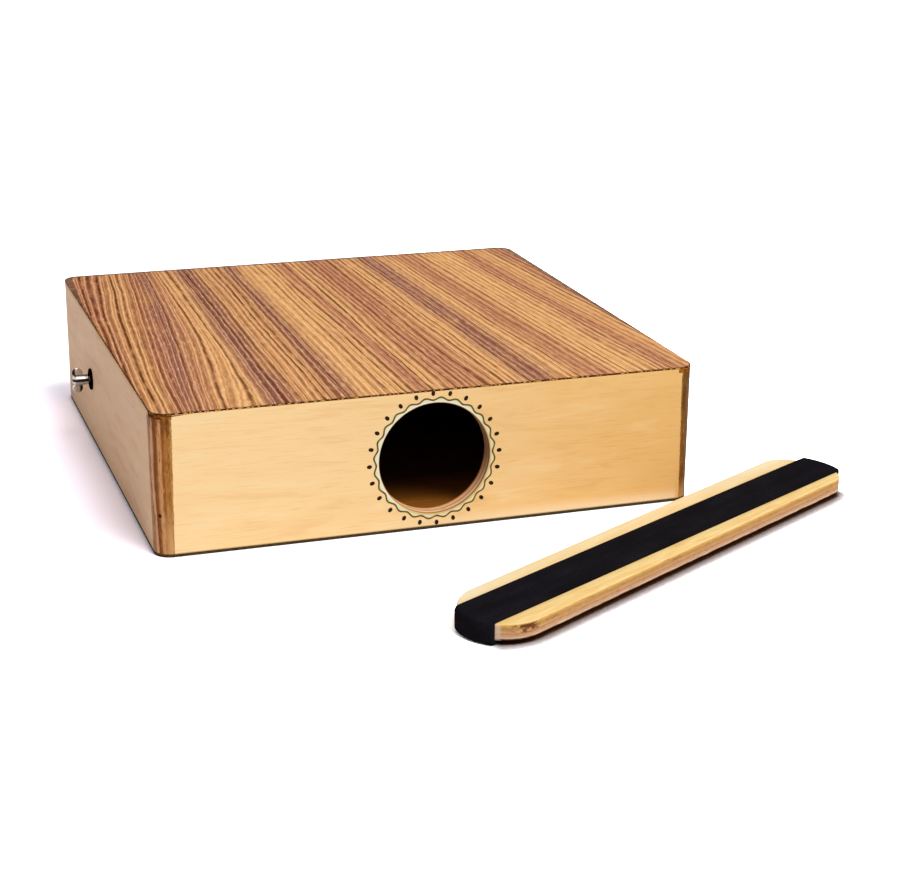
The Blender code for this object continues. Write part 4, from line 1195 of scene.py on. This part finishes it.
@dataclass
class SnareGear:
    """Knob, rod, batten and snare wires, and the bearings that they turn in."""

    sizes: BoxSizes
    finishes: Finishes
    wing_thickness: float = 1.8 * MM
    wire: float = 0.45 * MM
    coil: float = 2.4 * MM
    curls: int = 50

    def axis(self) -> Vector:
        """A point of the rod's axis at x = 0."""
        low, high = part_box("snare_rod")
        return Vector((0, (low[1] + high[1]) / 2, (low[2] + high[2]) / 2))

    def outward(self, x: float) -> Matrix:
        """Matrix that puts local Z along -X, out of the left wall, with its origin at x."""
        return Matrix.Translation(self.axis() + Vector((x, 0, 0))) @ Matrix.Rotation(math.radians(-90), 4, "Y")

    def bush(self) -> None:
        """Flanged bush: its closed section turned about the rod."""
        x_low, x_high = corner("knob_bush", 0, 0), corner("knob_bush", 1, 0)
        length = x_high - x_low
        bore, body, flange, face = 2.3 * MM, 4 * MM, 6.5 * MM, 1.3 * MM
        profile = np.array([(bore, 0), (bore + 0.3 * MM, -0.2 * MM), (flange - 0.6 * MM, 0),
                            (flange - 0.15 * MM, -0.2 * MM), (flange, -0.55 * MM), (flange, -face),
                            (body, -face), (body, -length), (bore, -length)])
        rings = moved(turned(profile, 64), self.outward(x_low))
        piece = surface("knob_bearing", rings, self.finishes["nylon"], close_across=True)
        settle(piece, Body.BOX, "black_nylon", "knob_bush")

    def rod(self) -> None:
        """Drawn steel rod with small end chamfers."""
        low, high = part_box("snare_rod")
        radius = (high[2] - low[2]) / 2
        length = high[0] - low[0]
        ease = 0.3 * MM
        profile = np.array([(0, 0), (radius - ease, 0), (radius, -ease), (radius, -length + ease),
                            (radius - ease, -length), (0, -length)])
        rings = moved(turned(profile, 40), self.outward(low[0]))
        settle(surface("steel_rod", rings, self.finishes["steel"]), Body.SNARE, "bright_steel", "snare_rod")

    def knob(self) -> None:
        """Chromed wing knob: a turned hub joined with two flared wings with rounded edges."""
        low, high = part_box("wing_knob")
        start, length = float(high[0]), float(high[0] - low[0])
        radius = 3.1 * MM
        bore, depth = 2.3 * MM, 8.0 * MM
        crown = np.linspace(0, math.pi / 2, 9)
        nose = 2.2 * MM
        dome = np.stack([radius * np.sin(crown), length - nose + nose * np.cos(crown)], axis=1)
        profile = np.concatenate([dome, [(radius, 0.5 * MM), (radius - 0.4 * MM, 0), (bore, 0),
                                         (bore, depth), (0, depth)]])
        hub = surface("chrome_wing_knob", moved(turned(profile, 56), self.outward(start)),
                      self.finishes["chrome"])
        tip, out, up = 3.1 * MM, 6.7 * MM, 4.6 * MM
        inside, waist = 1.6 * MM, 2.8 * MM
        low_root, high_root = out - 3.0 * MM, out + 1.8 * MM
        angle = np.radians(np.linspace(190, -20, 40))
        lobe = np.stack([out + tip * np.cos(angle), up + tip * np.sin(angle)], axis=1)
        lobe = np.concatenate([[(low_root, inside)], lobe, [(high_root, waist), (high_root, inside)]])
        plan = np.concatenate([lobe, (lobe * np.array([1, -1]))[::-1]])
        step = np.roll(plan, -1, 0) - np.roll(plan, 1, 0)
        normals = np.stack([-step[:, 1], step[:, 0]], axis=1)
        normals /= np.linalg.norm(normals, axis=1, keepdims=True)
        half = self.wing_thickness / 2
        rings = plate(plan, normals, eased_section(-half, half, 0.6 * MM, 0.6 * MM))
        facing = Matrix(((-1, 0, 0, 0), (0, 0, 1, 0), (0, 1, 0, 0), (0, 0, 0, 1)))
        matrix = Matrix.Translation(self.axis() + Vector((start, 0, 0))) @ facing
        wings = surface("wings", moved(rings, matrix), self.finishes["chrome"])
        relief = np.array([(0, -1 * MM), (bore, -1 * MM), (bore, depth), (0, depth)])
        core = surface("relief", moved(turned(relief, 56), self.outward(start)), self.finishes["chrome"])
        wings = applied(wings, core, "DIFFERENCE")
        settle(applied(hub, wings, "UNION"), Body.SNARE, "chrome", "wing_knob")

    def wires(self) -> None:
        """Snare wires: closely curled spring wire, each one tube carried along a helix.

        The centre line turns once in each pitch at the coil's mean radius. The tube's circle lies
        in the plane of the radial direction and of its cross product with the tangent.
        """
        radius = (self.coil - self.wire) / 2
        for index in range(1, 7):
            node = f"snare_wire_{index}"
            low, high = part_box(node)
            x, z = (low[0] + high[0]) / 2, (low[2] + high[2]) / 2
            length = float(high[1] - low[1])
            lead = 1.4 * MM
            share = np.linspace(0, 1, self.curls * 12 + 1)
            run = np.concatenate([[0.0], lead + (length - 2 * lead) * share, [length]])
            turn = np.concatenate([[0.0], 2 * math.pi * self.curls * share, [2 * math.pi * self.curls]])
            radial = np.stack([np.sin(turn), np.zeros_like(turn), -np.cos(turn)], axis=1)
            centre = np.array([x, high[1], z]) + radius * radial
            centre[:, 1] -= run
            tangent = np.gradient(centre, axis=0)
            tangent /= np.linalg.norm(tangent, axis=1, keepdims=True)
            side = np.cross(tangent, radial)
            side /= np.linalg.norm(side, axis=1, keepdims=True)
            normal = np.cross(side, tangent)
            angle = np.linspace(0, 2 * math.pi, 6, endpoint=False)
            rings = (centre[:, None] + self.wire / 2 * (np.cos(angle)[None, :, None] * normal[:, None]
                                                        + np.sin(angle)[None, :, None] * side[:, None]))
            piece = surface(f"coiled_wire_{index}", rings, self.finishes["wire"], sharp=80)
            settle(piece, Body.SNARE, "spring_wire", node)

    def carried(self) -> None:
        """Give the frame's own pieces of the gear their finishes."""
        finish_of = {"bush_nut": "nylon", "end_bush": "nylon", "snare_batten": "beech",
                     "snare_plate": "brass", "rod_saddle_left": "steel", "rod_saddle_right": "steel"}
        for node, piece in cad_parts.items():
            finish = "screw" if "screw" in node else finish_of.get(node)
            if finish:
                piece.material_slots[0].material = self.finishes[finish]

    def build(self) -> None:
        """Build the gear."""
        self.bush()
        self.rod()
        self.knob()
        self.wires()
        self.carried()


@dataclass
class LapBar:
    """The loose bar and the tape band round it."""

    sizes: BarSizes
    finishes: Finishes

    def wood(self) -> None:
        """Round-ended plywood bar with eased edges."""
        s = self.sizes
        plan, normals = s.outline(20)
        rings = plate(plan, normals, eased_section(s.low, s.high, 0.8 * MM, 0.8 * MM, 5))
        piece = surface("bar_wood", moved(rings, s.matrix), self.finishes["bar"])
        settle(piece, Body.BAR, "bar_plywood", "lap_bar")

    def reach(self, across: np.ndarray, lift: float, sign: int) -> np.ndarray:
        """How far the tape reaches along its own X at one end of the bar, on each line across it.

        The bar's outline is grown by the lift and turned into the tape's frame, where the end's
        half of it gives one distance for each place across the tape.

        Args:
            across: Places across the tape, rising.
            lift: Distance of the tape's surface from the wood.
            sign: 1 for the far end and -1 for the near end.

        Returns:
            One distance for each place.
        """
        s = self.sizes
        points, normals = s.outline(200)
        skew = np.array(Matrix.Rotation(s.tape_skew, 2))
        own = (points + lift * normals - (0, s.tape_offset)) @ skew
        end = own[sign * own[:, 0] > 0]
        end = end[np.argsort(end[:, 1])]
        return np.interp(across, end[:, 1], end[:, 0])

    def tape_band(self) -> None:
        """Tape band, one loop round the bar's length.

        Along the loop the path runs over the top, round the end with a soft turn and back
        underneath, at two distances from the wood for its two faces.
        """
        s = self.sizes
        half = s.tape_width / 2
        across = np.linspace(-half, half, 26)
        soft = 2.4 * MM
        tape = s.tape_high - s.high
        layers = []
        for lift, bend in ((tape, soft), (0.12 * MM, soft - tape + 0.12 * MM)):
            path = []
            for sign in (1, -1):
                end = self.reach(across, lift, sign)
                for level in (sign, -sign):
                    start = 90 if level == sign else 0
                    for a in np.radians(np.linspace(start, start - 90, 7)):
                        middle = s.high + lift - bend if level > 0 else s.low - lift + bend
                        z = np.full_like(across, middle + sign * bend * math.sin(a))
                        path.append(np.stack([end + sign * bend * (math.cos(a) - 1), across, z], axis=1))
            layers.append(np.array(path))
        outer, inner = layers
        loop = np.concatenate([outer, inner[:, ::-1]], axis=1)
        piece = surface("bar_tape", moved(loop, s.tape_matrix), self.finishes["tape"], close_across=True, sharp=50)
        settle(piece, Body.BAR, "black_tape", "lap_bar_tape")

    def build(self) -> None:
        """Build the bar."""
        self.wood()
        self.tape_band()


@dataclass
class Studio:
    """White floor, soft lamps and the camera at the photographed angle."""

    bar: BarSizes
    camera_at: tuple[float, float, float] = (-0.32328, -1.12531, 0.39424)
    yaw: float = math.radians(18.818)
    pitch: float = math.radians(18.763)
    roll: float = math.radians(-0.516)
    focal_pixels: float = 2012.5
    frame_pixels: float = 899.0
    sensor: float = 36.0
    lamp_from: tuple[float, float, float] = (0.316, -0.476, 0.819)
    lamp_power: float = 2.4
    lamp_width: float = math.radians(35)
    sky: float = 0.35
    paper: float = 0.84
    paper_seen: tuple[float, float, float] = (1.70, 1.69, 1.96)
    contact: float = 6 * MM
    bar_contact: float = 14 * MM

    def camera(self) -> None:
        """Set the camera: its right and down axes follow from yaw, pitch and roll."""
        sin_y, cos_y = math.sin(self.yaw), math.cos(self.yaw)
        forward = Vector((sin_y * math.cos(self.pitch), cos_y * math.cos(self.pitch), -math.sin(self.pitch)))
        right = Vector((cos_y, -sin_y, 0))
        down = forward.cross(right)
        turned_right = right * math.cos(self.roll) + down * math.sin(self.roll)
        turned_down = -right * math.sin(self.roll) + down * math.cos(self.roll)
        rows = Matrix((turned_right, -turned_down, -forward)).transposed()
        data = bpy.data.cameras.new("photo_camera")
        data.sensor_width = self.sensor
        data.lens = self.focal_pixels * self.sensor / self.frame_pixels
        data.clip_start = 0.05
        camera = bpy.data.objects.new("photo_camera", data)
        camera.matrix_world = Matrix.Translation(self.camera_at) @ rows.to_4x4()
        bpy.context.scene.collection.objects.link(camera)
        bpy.context.scene.camera = camera

    def floor(self) -> None:
        """Wide white floor: plain to the light that it gives back, white to the eye, with painted contact shadow where
        the object stands close and painted light lifting its soft shadow elsewhere.
        """
        mesh = bpy.data.meshes.new("studio_floor")
        reach = 12.0
        mesh.from_pydata([(-reach, -reach, 0), (reach, -reach, 0), (reach, reach, 0), (-reach, reach, 0)], [],
                         [(0, 1, 2, 3)])
        floor = bpy.data.objects.new("studio_floor", mesh)
        floor.location.z = -0.0002
        bpy.context.scene.collection.objects.link(floor)
        material, tree, shader = new_material("white_paper_floor")
        tree.nodes.remove(shader)
        path = add(tree, "LightPath")
        mirrored = maths(tree, "MAXIMUM", path.outputs["Is Glossy Ray"], path.outputs["Is Transmission Ray"])
        plain, bright = ((value, value, value, 1.0) for value in (self.paper, 1.0))
        colour = blend(tree, path.outputs["Is Camera Ray"], blend(tree, mirrored, plain, bright),
                       (*self.paper_seen, 1.0))
        x, y, _ = object_axes(tree)
        # Painted light lifts the soft shadow on the floor towards the back.
        behind = maths(tree, "MULTIPLY", spread(tree, y, 30 * MM, 130 * MM), path.outputs["Is Camera Ray"])
        colour = blend(tree, behind, colour, (*(1.22 * value for value in self.paper_seen), 1.0))
        own = place(tree, (1.0, 1.0, 1.0), self.bar.centre, self.bar.turn)
        along, beside = axis_of(tree, own, 0), axis_of(tree, own, 1)
        half = self.bar.length / 2
        near = spread(tree, maths(tree, "MULTIPLY_ADD", beside, -0.8, along), -half, 18 * MM - half)
        far = spread(tree, along, half - 8 * MM, half + 2 * MM, 1.0, 0.0)
        by_bar = maths(tree, "MULTIPLY", maths(tree, "MULTIPLY", near, far), maths(tree, "LESS_THAN", beside, 16 * MM))
        reach = spread(tree, by_bar, 0.0, 1.0, self.contact, self.bar_contact)
        # Painted contact shadow: the floor darkens where an occlusion reading finds the object close.
        open_sky = add(tree, "AmbientOcclusion", {"Distance": reach}, samples=4).outputs["AO"]
        # Painted light lifts the soft shadow to the right of the box and in front of it.
        beyond = maths(tree, "MAXIMUM", maths(tree, "GREATER_THAN", x, 0.157), maths(tree, "LESS_THAN", y, -0.157))
        colour = blend(tree, maths(tree, "MULTIPLY", beyond, path.outputs["Is Camera Ray"]), colour, (3.2, 3.2, 3.4, 1.0))
        at_box = blend(tree, beyond, spread(tree, open_sky, 0.15, 0.42), spread(tree, open_sky, 0.15, 0.32))
        at_bar = spread(tree, open_sky, 0.50, 1.0)
        clear = blend(tree, by_bar, at_box, maths(tree, "MULTIPLY", at_bar, at_bar))
        dark = blend(tree, by_bar, linear("#120A06"), linear("#4A2A16"))
        colour = blend(tree, clear, dark, colour)
        paper = add(tree, "BsdfDiffuse", {"Color": colour})
        tree.links.new(paper.outputs[0], tree.nodes["Material Output"].inputs["Surface"])
        mesh.materials.append(material)

    def lights(self) -> None:
        """One wide soft lamp from the front right above, and a white sky."""
        data = bpy.data.lights.new("wide_softbox", "SUN")
        data.energy = self.lamp_power
        data.angle = self.lamp_width
        data.color = linear("#FFFCF8")[:3]
        lamp = bpy.data.objects.new("wide_softbox", data)
        lamp.rotation_euler = Vector(self.lamp_from).to_track_quat("Z", "Y").to_euler()
        bpy.context.scene.collection.objects.link(lamp)
        world = bpy.data.worlds.new("white_sky")
        world.use_nodes = True
        tree = world.node_tree
        path = add(tree, "LightPath")
        seen = maths(tree, "MAXIMUM", path.outputs["Is Camera Ray"], path.outputs["Is Glossy Ray"])
        seen = maths(tree, "MAXIMUM", seen, path.outputs["Is Transmission Ray"])
        background = tree.nodes["Background"]
        background.inputs["Color"].default_value = (1, 1, 1, 1)
        tree.links.new(spread(tree, seen, 0.0, 1.0, self.sky, 1.0), background.inputs["Strength"])
        bpy.context.scene.world = world

    def build(self) -> None:
        """Set up camera, floor, lights and view."""
        self.camera()
        self.floor()
        self.lights()
        bpy.context.scene.view_settings.view_transform = "Standard"


def main() -> None:
    """Build every class in order."""
    logging.basicConfig(level=logging.INFO, format="%(name)s: %(message)s")
    box_sizes, bar_sizes = BoxSizes(), BarSizes()
    finishes = Finishes(box_sizes, bar_sizes)
    Box(box_sizes, finishes).build()
    Rosette(box_sizes, finishes).build()
    SnareGear(box_sizes, finishes).build()
    LapBar(bar_sizes, finishes).build()
    Studio(bar_sizes).build()


if __name__ == "__main__":
    main()
